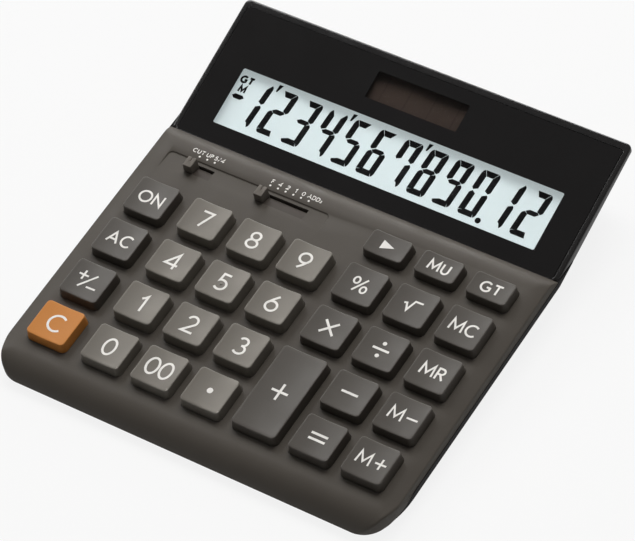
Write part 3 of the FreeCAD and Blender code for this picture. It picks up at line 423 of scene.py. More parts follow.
class Nodes:
    """Short way to add and link nodes in one tree."""

    def __init__(self, tree: bpy.types.NodeTree) -> None:
        """Work on the given tree."""
        self.tree = tree

    def add(self, kind: str, **values: object) -> bpy.types.Node:
        """Add a node and set its properties.

        Args:
            kind: Type of the node.
            values: Its properties by name.

        Returns:
            The node.
        """
        node = self.tree.nodes.new(kind)
        for key, value in values.items():
            setattr(node, key, value)
        return node

    def link(self, source: bpy.types.NodeSocket, target: bpy.types.NodeSocket) -> None:
        """Join two sockets."""
        self.tree.links.new(source, target)

    def noise(
        self, where: bpy.types.NodeSocket, scale: object, detail: float, roughness: float = 0.5,
    ) -> bpy.types.Node:
        """Noise texture over a place, with a fixed or a linked scale.

        Args:
            where: Socket with the place.
            scale: A number or a socket.
            detail: Layers of noise.
            roughness: Share of the finer layers.

        Returns:
            The texture node.
        """
        node = self.add("ShaderNodeTexNoise")
        node.inputs["Detail"].default_value = detail
        node.inputs["Roughness"].default_value = roughness
        self.link(where, node.inputs["Vector"])
        self.feed(scale, node.inputs["Scale"])
        return node

    def feed(self, value: object, socket: bpy.types.NodeSocket) -> None:
        """Set a socket from a number or a colour, or link it from another socket.

        Args:
            value: A number, a colour or a socket.
            socket: The input to set.
        """
        if isinstance(value, bpy.types.NodeSocket):
            self.link(value, socket)
        else:
            socket.default_value = value

    def math(self, kind: str, *values: object) -> bpy.types.NodeSocket:
        """Math node over numbers and sockets.

        Args:
            kind: The operation.
            values: Numbers or sockets.

        Returns:
            The result's socket.
        """
        node = self.add("ShaderNodeMath", operation=kind)
        for i, value in enumerate(values):
            self.feed(value, node.inputs[i])
        return node.outputs[0]

    def spread(
        self, value: object, low: float, high: float, to_low: object, to_high: object,
    ) -> bpy.types.NodeSocket:
        """Take a value from one range to another, held at its ends.

        Args:
            value: A number or a socket.
            low, high: Ends of the first range.
            to_low, to_high: Ends of the new range.

        Returns:
            The result's socket.
        """
        node = self.add("ShaderNodeMapRange")
        for i, number in enumerate((value, low, high, to_low, to_high)):
            self.feed(number, node.inputs[i])
        return node.outputs[0]


def new_group(name: str, inputs: dict[str, tuple], outputs: dict[str, str]) -> tuple[Nodes, dict, dict]:
    """Start a shader group with named sockets.

    Args:
        name: Name of the group.
        inputs: For each input its socket type and its usual value.
        outputs: For each output its socket type.

    Returns:
        The nodes of the group, its inputs and its outputs by name.
    """
    tree = bpy.data.node_groups.new(name, "ShaderNodeTree")
    for label, (kind, value) in inputs.items():
        socket = tree.interface.new_socket(name=label, in_out="INPUT", socket_type=kind)
        socket.default_value = value
    for label, kind in outputs.items():
        tree.interface.new_socket(name=label, in_out="OUTPUT", socket_type=kind)
    nodes = Nodes(tree)
    start, end = nodes.add("NodeGroupInput"), nodes.add("NodeGroupOutput")
    return nodes, {s.name: s for s in start.outputs}, {s.name: s for s in end.inputs}


GREY = ("NodeSocketColor", (0.5, 0.5, 0.5, 1.0))
PALE_GREY = ("NodeSocketColor", (0.6, 0.6, 0.6, 1.0))


class Effect(Enum):
    """Surface effects that several finishes share."""

    GRAIN = "moulded_grain"
    DRIFT = "tone_drift"
    WEAR = "edge_wear_and_highlight"
    DUST = "settled_dust"

    def group(self) -> bpy.types.NodeTree:
        """The effect's shader group, built the first time that it is asked for.

        Returns:
            The group's tree.
        """
        made = bpy.data.node_groups.get(self.value)
        if made is None:
            getattr(self, "_build_" + self.name.lower())()
            made = bpy.data.node_groups[self.value]
        return made

    def _build_grain(self) -> None:
        """Fine spark-eroded grain: a height and a value that varies with it."""
        nodes, start, end = new_group(
            self.value, {"Scale": ("NodeSocketFloat", 2600.0)},
            {"Height": "NodeSocketFloat", "Gloss": "NodeSocketFloat"},
        )
        where = nodes.add("ShaderNodeTexCoord").outputs["Object"]
        fine = nodes.noise(where, start["Scale"], 3.0, 0.62)
        pits = nodes.add("ShaderNodeTexVoronoi")
        nodes.link(where, pits.inputs["Vector"])
        nodes.link(nodes.math("MULTIPLY", start["Scale"], 0.8), pits.inputs["Scale"])
        shallow = nodes.math("MULTIPLY", pits.outputs["Distance"], 0.45)
        nodes.link(nodes.math("ADD", fine.outputs["Fac"], shallow), end["Height"])
        broad = nodes.noise(where, nodes.math("MULTIPLY", start["Scale"], 0.05), 2.0)
        gloss = nodes.math("ADD", nodes.math("MULTIPLY", fine.outputs["Fac"], 0.5), broad.outputs["Fac"])
        nodes.link(nodes.spread(gloss, 0.45, 1.05, -1.0, 1.0), end["Gloss"])

    def _build_drift(self) -> None:
        """Slow and fine change of tone over a moulding."""
        nodes, start, end = new_group(
            self.value,
            {"Color": GREY, "Amount": ("NodeSocketFloat", 0.05), "Scale": ("NodeSocketFloat", 40.0)},
            {"Color": "NodeSocketColor"},
        )
        where = nodes.add("ShaderNodeTexCoord").outputs["Object"]
        slow = nodes.noise(where, start["Scale"], 2.0)
        fine = nodes.noise(where, nodes.math("MULTIPLY", start["Scale"], 60.0), 1.0)
        both = nodes.math("ADD", slow.outputs["Fac"], nodes.math("MULTIPLY", fine.outputs["Fac"], 0.6))
        low = nodes.math("SUBTRACT", 1.0, start["Amount"])
        high = nodes.math("ADD", 1.0, start["Amount"])
        value = nodes.spread(both, 0.5, 1.1, low, high)
        hue = nodes.add("ShaderNodeHueSaturation")
        nodes.link(value, hue.inputs["Value"])
        nodes.link(start["Color"], hue.inputs["Color"])
        nodes.link(hue.outputs["Color"], end["Color"])

    def _build_wear(self) -> None:
        """Lighter colour along outer edges, broken up by noise: partly rubbed wear, partly a painted edge
        highlight.
        """
        nodes, start, end = new_group(
            self.value,
            {"Color": GREY, "Worn": PALE_GREY, "Amount": ("NodeSocketFloat", 0.3)},
            {"Color": "NodeSocketColor", "Mask": "NodeSocketFloat"},
        )
        point = nodes.add("ShaderNodeNewGeometry").outputs["Pointiness"]
        where = nodes.add("ShaderNodeTexCoord").outputs["Object"]
        patch = nodes.noise(where, 420.0, 3.0, 0.6)
        edge = nodes.spread(point, 0.515, 0.60, 0.0, 1.0)
        broken = nodes.math("MULTIPLY", edge, nodes.spread(patch.outputs["Fac"], 0.35, 0.65, 0.25, 1.0))
        mask = nodes.math("MULTIPLY", broken, start["Amount"])
        mix = nodes.add("ShaderNodeMix", data_type="RGBA")
        nodes.link(mask, mix.inputs["Factor"])
        nodes.link(start["Color"], mix.inputs["A"])
        nodes.link(start["Worn"], mix.inputs["B"])
        nodes.link(mix.outputs["Result"], end["Color"])
        nodes.link(mask, end["Mask"])

    def _build_dust(self) -> None:
        """Sparse pale specks that lie on faces that look up."""
        nodes, start, end = new_group(
            self.value,
            {"Color": GREY, "Dust": PALE_GREY, "Amount": ("NodeSocketFloat", 0.1)},
            {"Color": "NodeSocketColor", "Mask": "NodeSocketFloat"},
        )
        where = nodes.add("ShaderNodeTexCoord").outputs["Object"]
        specks = nodes.noise(where, 1500.0, 2.0, 0.7)
        film = nodes.noise(where, 60.0, 3.0, 0.5)
        dots = nodes.spread(specks.outputs["Fac"], 0.66, 0.78, 0.0, 1.0)
        haze = nodes.spread(film.outputs["Fac"], 0.4, 0.75, 0.0, 0.35)
        normal = nodes.add("ShaderNodeSeparateXYZ")
        nodes.link(nodes.add("ShaderNodeNewGeometry").outputs["Normal"], normal.inputs[0])
        up = nodes.spread(normal.outputs["Z"], 0.3, 1.0, 0.0, 1.0)
        lying = nodes.math("MULTIPLY", nodes.math("ADD", dots, haze), up)
        mask = nodes.math("MULTIPLY", lying, start["Amount"])
        mix = nodes.add("ShaderNodeMix", data_type="RGBA")
        nodes.link(mask, mix.inputs["Factor"])
        nodes.link(start["Color"], mix.inputs["A"])
        nodes.link(start["Dust"], mix.inputs["B"])
        nodes.link(mix.outputs["Result"], end["Color"])
        nodes.link(mask, end["Mask"])


# Finishes


@dataclass(frozen=True)
class Finish:
    """Base of every finish: makes its material once, the first time that it is used.

    Attributes:
        name: Name of the material.
        colour: Colour as seen, 0 to 255.
        roughness: Middle roughness.
    """

    name: str
    colour: tuple[float, float, float]
    roughness: float = 0.5

    def material(self) -> bpy.types.Material:
        """The finish's material.

        Returns:
            The material, made at the first call.
        """
        made = bpy.data.materials.get(self.name)
        if made is None:
            made = bpy.data.materials.new(self.name)
            made.use_nodes = True
            nodes = Nodes(made.node_tree)
            self.dress(nodes, made.node_tree.nodes["Principled BSDF"])
        return made

    def dress(self, nodes: Nodes, shader: bpy.types.Node) -> None:
        """Set up the shader. Each kind of finish has its own way."""
        raise NotImplementedError

    def effect(self, nodes: Nodes, kind: Effect, **values: object) -> bpy.types.Node:
        """Place a shared effect in this material with its own values.

        Args:
            nodes: The material's nodes.
            kind: The effect.
            values: Value or socket for each input by name.

        Returns:
            The node that holds the effect.
        """
        node = nodes.add("ShaderNodeGroup")
        node.node_tree = kind.group()
        for key, value in values.items():
            nodes.feed(value, node.inputs[key])
        return node


DUST_COLOUR = (168, 164, 158)


@dataclass(frozen=True)
class Moulding(Finish):
    """Moulded plastic or rubber with a fine grain.

    Attributes:
        grain_scale: Grains across a metre.
        grain_height: Height of the grain, in metres.
        drift: Share by which the tone varies.
        worn: Colour of the edges, partly rubbed wear and partly a painted edge highlight.
        wear: Share of the worn colour on edges.
        dust: Share of dust on faces that look up.
        level: Specular level.
        lustre: Share of a metallic lustre on faces that look up.
        edge: Radius over which edges look rounded, in metres.
    """

    grain_scale: float = 2600.0
    grain_height: float = 0.00004
    drift: float = 0.05
    worn: tuple[float, float, float] = (140, 136, 130)
    wear: float = 0.25
    dust: float = 0.05
    level: float = 0.5
    lustre: float = 0.0
    edge: float = 0.0

    def dress(self, nodes: Nodes, shader: bpy.types.Node) -> None:
        """Grain, slow drift of tone, lighter edges that are partly rubbed wear and partly a painted
        highlight, and a little dust.

        Args:
            nodes: The material's nodes.
            shader: Its main shader.
        """
        tone = self.effect(nodes, Effect.DRIFT, Color=linear(self.colour), Amount=self.drift)
        # Lighter edges: partly rubbed wear, partly a painted highlight along the edges.
        rubbed_and_highlit = self.effect(
            nodes, Effect.WEAR, Color=tone.outputs["Color"], Worn=linear(self.worn), Amount=self.wear,
        )
        dusty = self.effect(
            nodes, Effect.DUST, Color=rubbed_and_highlit.outputs["Color"], Dust=linear(DUST_COLOUR), Amount=self.dust,
        )
        nodes.link(dusty.outputs["Color"], shader.inputs["Base Color"])
        grain = self.effect(nodes, Effect.GRAIN, Scale=self.grain_scale)
        rough = nodes.spread(grain.outputs["Gloss"], -1.0, 1.0, self.roughness - 0.06, self.roughness + 0.06)
        nodes.link(rough, shader.inputs["Roughness"])
        bump = nodes.add("ShaderNodeBump")
        bump.inputs["Strength"].default_value = 0.6
        bump.inputs["Distance"].default_value = self.grain_height
        nodes.link(grain.outputs["Height"], bump.inputs["Height"])
        if self.edge:
            bevel = nodes.add("ShaderNodeBevel", samples=6)
            bevel.inputs["Radius"].default_value = self.edge
            nodes.link(bevel.outputs["Normal"], bump.inputs["Normal"])
        nodes.link(bump.outputs["Normal"], shader.inputs["Normal"])
        shader.inputs["Specular IOR Level"].default_value = self.level
        if self.lustre:
            normal = nodes.add("ShaderNodeSeparateXYZ")
            nodes.link(nodes.add("ShaderNodeNewGeometry").outputs["Normal"], normal.inputs[0])
            upward = nodes.spread(normal.outputs["Z"], 0.6, 0.9, 0.0, self.lustre)
            nodes.link(upward, shader.inputs["Metallic"])


@dataclass(frozen=True)
class Print(Finish):
    """Printed ink, slightly uneven.

    Attributes:
        thin: Share by which its tone varies.
        level: Specular level.
    """

    thin: float = 0.10
    level: float = 0.4

    def dress(self, nodes: Nodes, shader: bpy.types.Node) -> None:
        """Even ink that thins a little in places.

        Args:
            nodes: The material's nodes.
            shader: Its main shader.
        """
        tone = self.effect(nodes, Effect.DRIFT, Color=linear(self.colour), Amount=self.thin, Scale=240.0)
        nodes.link(tone.outputs["Color"], shader.inputs["Base Color"])
        grain = self.effect(nodes, Effect.GRAIN, Scale=3200.0)
        rough = nodes.spread(grain.outputs["Gloss"], -1.0, 1.0, self.roughness - 0.05, self.roughness + 0.05)
        nodes.link(rough, shader.inputs["Roughness"])
        shader.inputs["Specular IOR Level"].default_value = self.level


@dataclass(frozen=True)
class Sheet(Finish):
    """Smooth glossy sheet with faint smears.

    Attributes:
        haze: Share by which smears lift the roughness.
        level: Specular level.
        glow: Strength of a painted glow, an emission that lifts the shade falling on the sheet though the
            sheet is no lamp.
    """

    haze: float = 0.05
    level: float = 0.5
    glow: float = 0.0

    def dress(self, nodes: Nodes, shader: bpy.types.Node) -> None:
        """Deep even colour under a clear surface with faint smears, and a painted glow where glow is set.

        Args:
            nodes: The material's nodes.
            shader: Its main shader.
        """
        where = nodes.add("ShaderNodeTexCoord").outputs["Object"]
        smear = nodes.noise(where, 55.0, 4.0, 0.6)
        tone = self.effect(nodes, Effect.DRIFT, Color=linear(self.colour), Amount=0.04, Scale=30.0)
        nodes.link(tone.outputs["Color"], shader.inputs["Base Color"])
        rough = nodes.spread(smear.outputs["Fac"], 0.35, 0.75, self.roughness, self.roughness + self.haze)
        nodes.link(rough, shader.inputs["Roughness"])
        shader.inputs["Specular IOR Level"].default_value = self.level
        # Painted light: the emission makes the sheet glow though it is no lamp.
        if self.glow:
            nodes.link(tone.outputs["Color"], shader.inputs["Emission Color"])
            shader.inputs["Emission Strength"].default_value = self.glow


@dataclass(frozen=True)
class ClearPane(Finish):
    """Clear pane that lets lamps light what lies under it."""

    def dress(self, nodes: Nodes, shader: bpy.types.Node) -> None:
        """Clear shader for sight and a plain passage for shadow rays.

        Args:
            nodes: The material's nodes.
            shader: Its main shader.
        """
        shader.inputs["Base Color"].default_value = linear(self.colour)
        shader.inputs["Transmission Weight"].default_value = 1.0
        shader.inputs["IOR"].default_value = 1.46
        where = nodes.add("ShaderNodeTexCoord").outputs["Object"]
        smear = nodes.noise(where, 45.0, 4.0, 0.6)
        rough = nodes.spread(smear.outputs["Fac"], 0.45, 0.75, self.roughness, self.roughness + 0.02)
        nodes.link(rough, shader.inputs["Roughness"])
        open_way = nodes.add("ShaderNodeBsdfTransparent")
        mix = nodes.add("ShaderNodeMixShader")
        nodes.link(nodes.add("ShaderNodeLightPath").outputs["Is Shadow Ray"], mix.inputs["Fac"])
        nodes.link(shader.outputs["BSDF"], mix.inputs[1])
        nodes.link(open_way.outputs["BSDF"], mix.inputs[2])
        nodes.link(mix.outputs["Shader"], nodes.tree.nodes["Material Output"].inputs["Surface"])


@dataclass(frozen=True)
class Metal(Finish):
    """Turned or rolled metal with fine streaks."""

    streaks: tuple[float, float, float] = (500.0, 500.0, 4000.0)

    def dress(self, nodes: Nodes, shader: bpy.types.Node) -> None:
        """Metal with streaks in its gloss and a slight change of tone.

        Args:
            nodes: The material's nodes.
            shader: Its main shader.
        """
        shader.inputs["Metallic"].default_value = 1.0
        where = nodes.add("ShaderNodeTexCoord").outputs["Object"]
        stretch = nodes.add("ShaderNodeMapping")
        stretch.inputs["Scale"].default_value = self.streaks
        nodes.link(where, stretch.inputs["Vector"])
        lines = nodes.noise(stretch.outputs["Vector"], 1.0, 4.0, 0.6)
        rough = nodes.spread(lines.outputs["Fac"], 0.3, 0.7, self.roughness - 0.08, self.roughness + 0.1)
        nodes.link(rough, shader.inputs["Roughness"])
        tone = self.effect(nodes, Effect.DRIFT, Color=linear(self.colour), Amount=0.06, Scale=160.0)
        nodes.link(tone.outputs["Color"], shader.inputs["Base Color"])


@dataclass(frozen=True)
class SolarGlass(Finish):
    """Thin-film cell behind glass, in four sections with fine dividing lines.

    Attributes:
        section: Width of a section, in metres.
        divider: Colour of the dividing lines.
    """

    section: float = 0.0092
    divider: tuple[float, float, float] = (34, 26, 24)

    def dress(self, nodes: Nodes, shader: bpy.types.Node) -> None:
        """Dark film with faint dividing lines across its width.

        Args:
            nodes: The material's nodes.
            shader: Its main shader.
        """
        where = nodes.add("ShaderNodeTexCoord").outputs["Object"]
        split = nodes.add("ShaderNodeSeparateXYZ")
        nodes.link(where, split.inputs[0])
        count = nodes.math("MULTIPLY", split.outputs["X"], 1 / self.section)
        step = nodes.math("FRACT", nodes.math("ADD", count, 0.5))
        edge = nodes.math("ABSOLUTE", nodes.math("SUBTRACT", step, 0.5))
        line = nodes.spread(edge, 0.47, 0.49, 0.0, 0.45)
        tone = self.effect(nodes, Effect.DRIFT, Color=linear(self.colour), Amount=0.05, Scale=80.0)
        mix = nodes.add("ShaderNodeMix", data_type="RGBA")
        nodes.link(line, mix.inputs["Factor"])
        nodes.link(tone.outputs["Color"], mix.inputs["A"])
        mix.inputs["B"].default_value = linear(self.divider)
        nodes.link(mix.outputs["Result"], shader.inputs["Base Color"])
        shader.inputs["Roughness"].default_value = self.roughness
        shader.inputs["Specular IOR Level"].default_value = 0.1


DECK_PLASTIC = Moulding(
    "deck_brown_plastic", (77, 72, 66), 0.46, grain_height=0.000012, drift=0.03, wear=0.0, level=0.2,
)
# The pale edge colour on the keys stands partly for rubbed wear and partly for a painted highlight along
# their edges.
DIGIT_PLASTIC = Moulding(
    "digit_key_satin", (106, 101, 93), 0.42, grain_height=0.000006, drift=0.03, worn=(190, 185, 175),
    wear=0.8, level=0.6, lustre=0.27,
)
FUNCTION_PLASTIC = Moulding(
    "function_key_satin", (70, 65, 59), 0.42, grain_height=0.000006, worn=(130, 125, 118), wear=0.5,
    lustre=0.04,
)
CLEAR_PLASTIC = Moulding(
    "clear_key_orange_plastic", (193, 126, 62), 0.46, grain_height=0.000006, worn=(228, 170, 110), wear=0.2,
    level=0.2,
)
# The pale edge colour on the selector stands partly for rubbed wear and partly for a painted highlight along
# its edges.
SELECTOR_PLASTIC = Moulding(
    "selector_satin", (92, 86, 79), 0.44, grain_height=0.000006, worn=(160, 154, 146), wear=0.6, level=0.2,
)
# The slots' floor is darker than the deck to paint the shade inside the slots.
SLOT_SHADE_PLASTIC = Moulding("slot_floor_painted_shade", (66, 60, 55), 0.5, grain_height=0.00001, level=0.2)
SHELL_PLASTIC = Moulding(
    "lower_shell_black_plastic", (22, 21, 21), 0.5, grain_height=0.00001, drift=0.04, worn=(50, 50, 50),
    level=0.05,
)
HOUSING_PLASTIC = Moulding(
    "housing_black_plastic", (34, 33, 33), 0.2, grain_height=0.000003, drift=0.04, wear=0.0, level=0.8,
    edge=0.0007,
)
INNER_PLASTIC = Moulding("inner_white_plastic", (196, 194, 188), 0.5, worn=(220, 220, 216))
RUBBER = Moulding(
    "black_rubber", (30, 30, 31), 0.8, grain_scale=1800.0, grain_height=0.00008, worn=(70, 70, 70), dust=0.3,
)
SILICONE = Moulding("contact_silicone", (150, 152, 150), 0.62, worn=(170, 172, 170), dust=0.0)
BOARD_RESIN = Moulding("board_green_resin", (44, 88, 56), 0.4, worn=(90, 130, 96), dust=0.0)
CHIP_RESIN = Moulding("chip_black_resin", (22, 22, 24), 0.3, worn=(50, 50, 50), dust=0.0)
FILM = Moulding("flat_film", (196, 150, 84), 0.35, worn=(210, 170, 110), dust=0.0, grain_height=0.00001)
LEAD_SKIN = Moulding("red_insulation", (150, 38, 34), 0.45, worn=(180, 80, 70), dust=0.0)
WINDOW_PRINT = Sheet("window_black_print", (31, 30, 30), 0.16, level=0.3)
PANE = ClearPane("clear_pane", (252, 253, 253), 0.01)
# The display cell's glow is painted light. It lifts the shade that the window border casts on the cell, and
# the base colour is darker to leave room for it.
DISPLAY_GLASS = Sheet("display_cell_glass_painted_glow", (147, 155, 156), 0.35, level=0.1, glow=1.3)
SEGMENT_INK = Print("display_segment_ink", (8, 8, 9), 0.5, level=0.05)
LEGEND_INK = Print("legend_white_ink", (232, 229, 224), 0.5, level=0.2)
SOLAR = SolarGlass("solar_film", (50, 41, 36), 0.22)
SCREW_STEEL = Metal("plated_steel", (150, 150, 152), 0.32)
BATTERY_STEEL = Metal("cell_steel", (186, 186, 184), 0.28)
CONTACT_METAL = Metal("spring_metal", (190, 170, 120), 0.3)

SLOT_FINISHES: dict[str, Finish] = {
    "deck_plastic": DECK_PLASTIC,
    "shell_plastic": SHELL_PLASTIC,
    "housing_plastic": HOUSING_PLASTIC,
    "window_panel": WINDOW_PRINT,
    "display_glass": DISPLAY_GLASS,
    "inner_plastic": INNER_PLASTIC,
    "film": FILM,
    "solar_glass": SOLAR,
    "lead_insulation": LEAD_SKIN,
    "board": BOARD_RESIN,
    "silicone": SILICONE,
    "resin": CHIP_RESIN,
    "battery_steel": BATTERY_STEEL,
    "contact_metal": CONTACT_METAL,
    "screw_steel": SCREW_STEEL,
    "foot_rubber": RUBBER,
    "digit_key_plastic": DIGIT_PLASTIC,
    "function_key_plastic": FUNCTION_PLASTIC,
    "clear_key_plastic": CLEAR_PLASTIC,
    "selector_plastic": SELECTOR_PLASTIC,
}


# Lettering

Stroke = list[Point2]
Surface = Callable[[float, float], float]


@dataclass(frozen=True)
class Glyph:
    """One sign drawn with an even pen, one unit high.

    Attributes:
        width: Width of the drawn lines.
        strokes: Lines that the pen follows.
    """

    width: float
    strokes: tuple[Stroke, ...] = ()


SIX_STEM: Stroke = [(0.50, 1.0), (0.36, 0.86), (0.22, 0.70), (0.10, 0.53), (0.03, 0.41)]
GLYPHS: dict[str, Glyph] = {
    "0": Glyph(0.66, (arc(0.33, 0.5, 0.33, 0.5, 90, 450, 32),)),
    "1": Glyph(0.27, ([(0.0, 0.77), (0.15, 0.87), (0.27, 1.0), (0.27, 0.0)],)),
    "2": Glyph(0.66, (arc(0.31, 0.71, 0.29, 0.29, 165, -32) + [(0.0, 0.0), (0.66, 0.0)],)),
    "3": Glyph(0.60, (arc(0.28, 0.755, 0.26, 0.245, 150, -90), arc(0.28, 0.27, 0.32, 0.27, 82, -145))),
    "4": Glyph(0.76, ([(0.57, 0.0), (0.57, 1.0), (0.0, 0.27), (0.76, 0.27)],)),
    "5": Glyph(0.62, ([(0.57, 1.0), (0.14, 1.0), (0.10, 0.57)] + arc(0.27, 0.31, 0.34, 0.31, 115, -140),)),
    "6": Glyph(0.66, (SIX_STEM, arc(0.33, 0.31, 0.33, 0.31, 0, 360, 28))),
    "7": Glyph(0.64, ([(0.0, 1.0), (0.64, 1.0), (0.19, 0.0)],)),
    "8": Glyph(0.64, (arc(0.32, 0.755, 0.26, 0.245, 0, 360, 24), arc(0.32, 0.26, 0.32, 0.26, 0, 360, 28))),
    "9": Glyph(0.66, ([(0.66 - x, 1 - y) for x, y in SIX_STEM], arc(0.33, 0.69, 0.33, 0.31, 0, 360, 28))),
    "A": Glyph(0.88, ([(0.0, 0.0), (0.44, 1.0), (0.88, 0.0)], [(0.15, 0.33), (0.73, 0.33)])),
    "C": Glyph(0.84, (arc(0.50, 0.5, 0.50, 0.5, 47, 313, 24),)),
    "D": Glyph(0.74, (
        [(0.0, 0.0), (0.0, 1.0), (0.28, 1.0)] + arc(0.28, 0.5, 0.46, 0.5, 90, -90, 18) + [(0.0, 0.0)],
    )),
    "F": Glyph(0.50, ([(0.0, 0.0), (0.0, 1.0), (0.50, 1.0)], [(0.0, 0.53), (0.45, 0.53)])),
    "G": Glyph(0.90, (arc(0.50, 0.5, 0.50, 0.5, 47, 322, 24) + [(0.89, 0.46), (0.56, 0.46)],)),
    "M": Glyph(1.02, ([(0.0, 0.0), (0.08, 1.0), (0.51, 0.20), (0.94, 1.0), (1.02, 0.0)],)),
    "N": Glyph(0.76, ([(0.0, 0.0), (0.0, 1.0), (0.76, 0.0), (0.76, 1.0)],)),
    "O": Glyph(1.0, (arc(0.50, 0.5, 0.50, 0.5, 90, 450, 32),)),
    "P": Glyph(0.54, (
        [(0.0, 0.0), (0.0, 1.0), (0.27, 1.0)] + arc(0.27, 0.74, 0.27, 0.26, 90, -90) + [(0.0, 0.48)],
    )),
    "R": Glyph(0.62, (
        [(0.0, 0.0), (0.0, 1.0), (0.28, 1.0)] + arc(0.28, 0.75, 0.27, 0.25, 90, -90) + [(0.0, 0.50)],
        [(0.28, 0.50), (0.62, 0.0)],
    )),
    "T": Glyph(0.76, ([(0.0, 1.0), (0.76, 1.0)], [(0.38, 1.0), (0.38, 0.0)])),
    "U": Glyph(0.68, ([(0.0, 1.0), (0.0, 0.34)] + arc(0.34, 0.34, 0.34, 0.34, 180, 360) + [(0.68, 1.0)],)),
    "/": Glyph(0.42, ([(0.0, -0.04), (0.42, 1.04)],)),
    " ": Glyph(0.10),
    "-": Glyph(0.78, ([(0.0, 0.46), (0.78, 0.46)],)),
    "+": Glyph(0.86, ([(0.0, 0.46), (0.86, 0.46)], [(0.43, 0.03), (0.43, 0.89)])),
}


class Lettering:
    """Raised print on a surface, drawn with a pen of even width."""

    dot_sides = 24
    sharpest = 0.35
    same_place = 1e-4

    def __init__(self, draft: Draft, surface: Surface, paint: int, rise: float = 0.03) -> None:
        """Print onto a draft.

        Args:
            draft: Draft that takes the print.
            surface: Height of the printed surface at (x, y).
            paint: Paint number of the ink.
            rise: How far the ink stands out of the surface.
        """
        self.draft = draft
        self.paint = paint
        self.top: Surface = lambda x, y: surface(x, y) + rise
        self.low: Surface = lambda x, y: surface(x, y) - rise

    def area(self, points: Sequence[Point2]) -> None:
        """Fill a convex outline."""
        self.draft.prism(points, self.low, self.top, self.paint)

    def dot(self, x: float, y: float, radius: float) -> None:
        """Round dot."""
        turn = 360 / self.dot_sides
        self.area(arc(x, y, radius, radius, 0, 360 - turn, self.dot_sides - 1))

    def line(self, points: Sequence[Point2], pen: float) -> None:
        """Line of even width with square ends and mitred bends.

        Args:
            points: Points that the pen follows. The line closes where the last is the first.
            pen: Width of the line.
        """
        closed = len(points) > 3 and math.dist(points[0], points[-1]) < self.same_place
        kept = [p for i, p in enumerate(points) if i == 0 or math.dist(p, points[i - 1]) > self.same_place]
        path = [Vector(p) for p in (kept[:-1] if closed else kept)]
        count = len(path)
        left: list[Point2] = []
        right: list[Point2] = []
        for i, here in enumerate(path):
            back = here - path[i - 1] if closed or i > 0 else None
            ahead = path[(i + 1) % count] - here if closed or i < count - 1 else None
            first = (back or ahead).normalized()
            second = (ahead or back).normalized()
            along = (first + second).normalized()
            side = Vector((-along.y, along.x))
            reach = pen / 2 / max(side.dot(Vector((-first.y, first.x))), self.sharpest)
            left.append(tuple(here + side * reach))
            right.append(tuple(here - side * reach))
        sides = ((right, self.low), (right, self.top), (left, self.top), (left, self.low))
        rows = [self.draft.ring((x, y, level(x, y)) for x, y in edge) for edge, level in sides]
        for low, high in zip(rows, rows[1:] + rows[:1]):
            self.draft.bridge(low, high, self.paint, closed)
        if not closed:
            self.draft.face([row[0] for row in rows][::-1], self.paint)
            self.draft.face([row[-1] for row in rows], self.paint)

    def text(
        self, words: str, x: float, y: float, height: float, pen: float,
        gap: float = 0.26, lean: float = 0.0,
    ) -> float:
        """Write a word centred on (x, y).

        Args:
            words: The signs.
            x, y: Middle of the word.
            height: Full height of a capital.
            pen: Width of the lines.
            gap: Clear space between signs, as a share of the height.
            lean: Slant, as a share of the height.

        Returns:
            The width of the word.
        """
        unit = height - pen
        room = gap * height + pen
        width = sum(GLYPHS[sign].width * unit for sign in words) + room * (len(words) - 1)
        left, base = x - width / 2, y - unit / 2
        for sign in words:
            self.sign(sign, left, base, unit, pen, lean)
            left += GLYPHS[sign].width * unit + room
        return width

    def sign(self, sign: str, left: float, base: float, unit: float, pen: float, lean: float = 0.0) -> None:
        """Write one sign from its lower left corner.

        Args:
            sign: The sign.
            left, base: Its lower left corner, on the pen's middle.
            unit: Height between the pen's middles.
            pen: Width of the lines.
            lean: Slant, as a share of the height.
        """
        glyph = GLYPHS[sign]
        for stroke in glyph.strokes:
            self.line([(left + (a + lean * b) * unit, base + b * unit) for a, b in stroke], pen)


# Keys


class KeyKind(Enum):
    """What a key is moulded in."""

    DIGIT = ("digit_key_plastic", DIGIT_PLASTIC)
    FUNCTION = ("function_key_plastic", FUNCTION_PLASTIC)
    CLEAR = ("clear_key_plastic", CLEAR_PLASTIC)

    @property
    def slot(self) -> str:
        """Name of the record's material slot."""
        return self.value[0]

    @property
    def finish(self) -> Finish:
        """The key's plastic."""
        return self.value[1]


@dataclass(frozen=True)
class KeyPlan:
    """Sizes that the keys share, on the deck."""

    pitch: float = 19.35
    block_gap: float = 1.95
    row_pitch: float = 18.7
    top_row: float = 75.7
    width: float = 14.6
    depth: float = 13.9
    digit_width: float = 14.5
    digit_depth: float = 13.5
    short_depth: float = 8.95
    height: float = 3.8
    flare: float = 0.4
    corner: float = 1.4
    edge: float = 0.3
    dish: float = 0.45
    flange: float = 0.6
    flange_top: float = -1.9
    flange_low: float = -2.7
    hole_gap: float = 0.14
    digit_rise: float = 0.6
    tall_extra: float = 1.8
    wall_bend: float = 2.0
    edge_turns: tuple[int, ...] = (0, 18, 36, 54, 72, 90)
    dish_rings: tuple[float, ...] = (0.93, 0.8, 0.6, 0.4, 0.2)
    least_corner: float = 0.3
    pen: float = 0.66
    bold_pen: float = 0.84
    figure: float = 6.95
    letter: float = 4.95
    small_letter: float = 4.3

    def column(self, number: int) -> float:
        """Centre of a column, counted from the left."""
        gap = self.block_gap if number > 3 else -self.block_gap if number == 0 else 0.0
        return (number - 3) * self.pitch + gap


PLAN = KeyPlan()


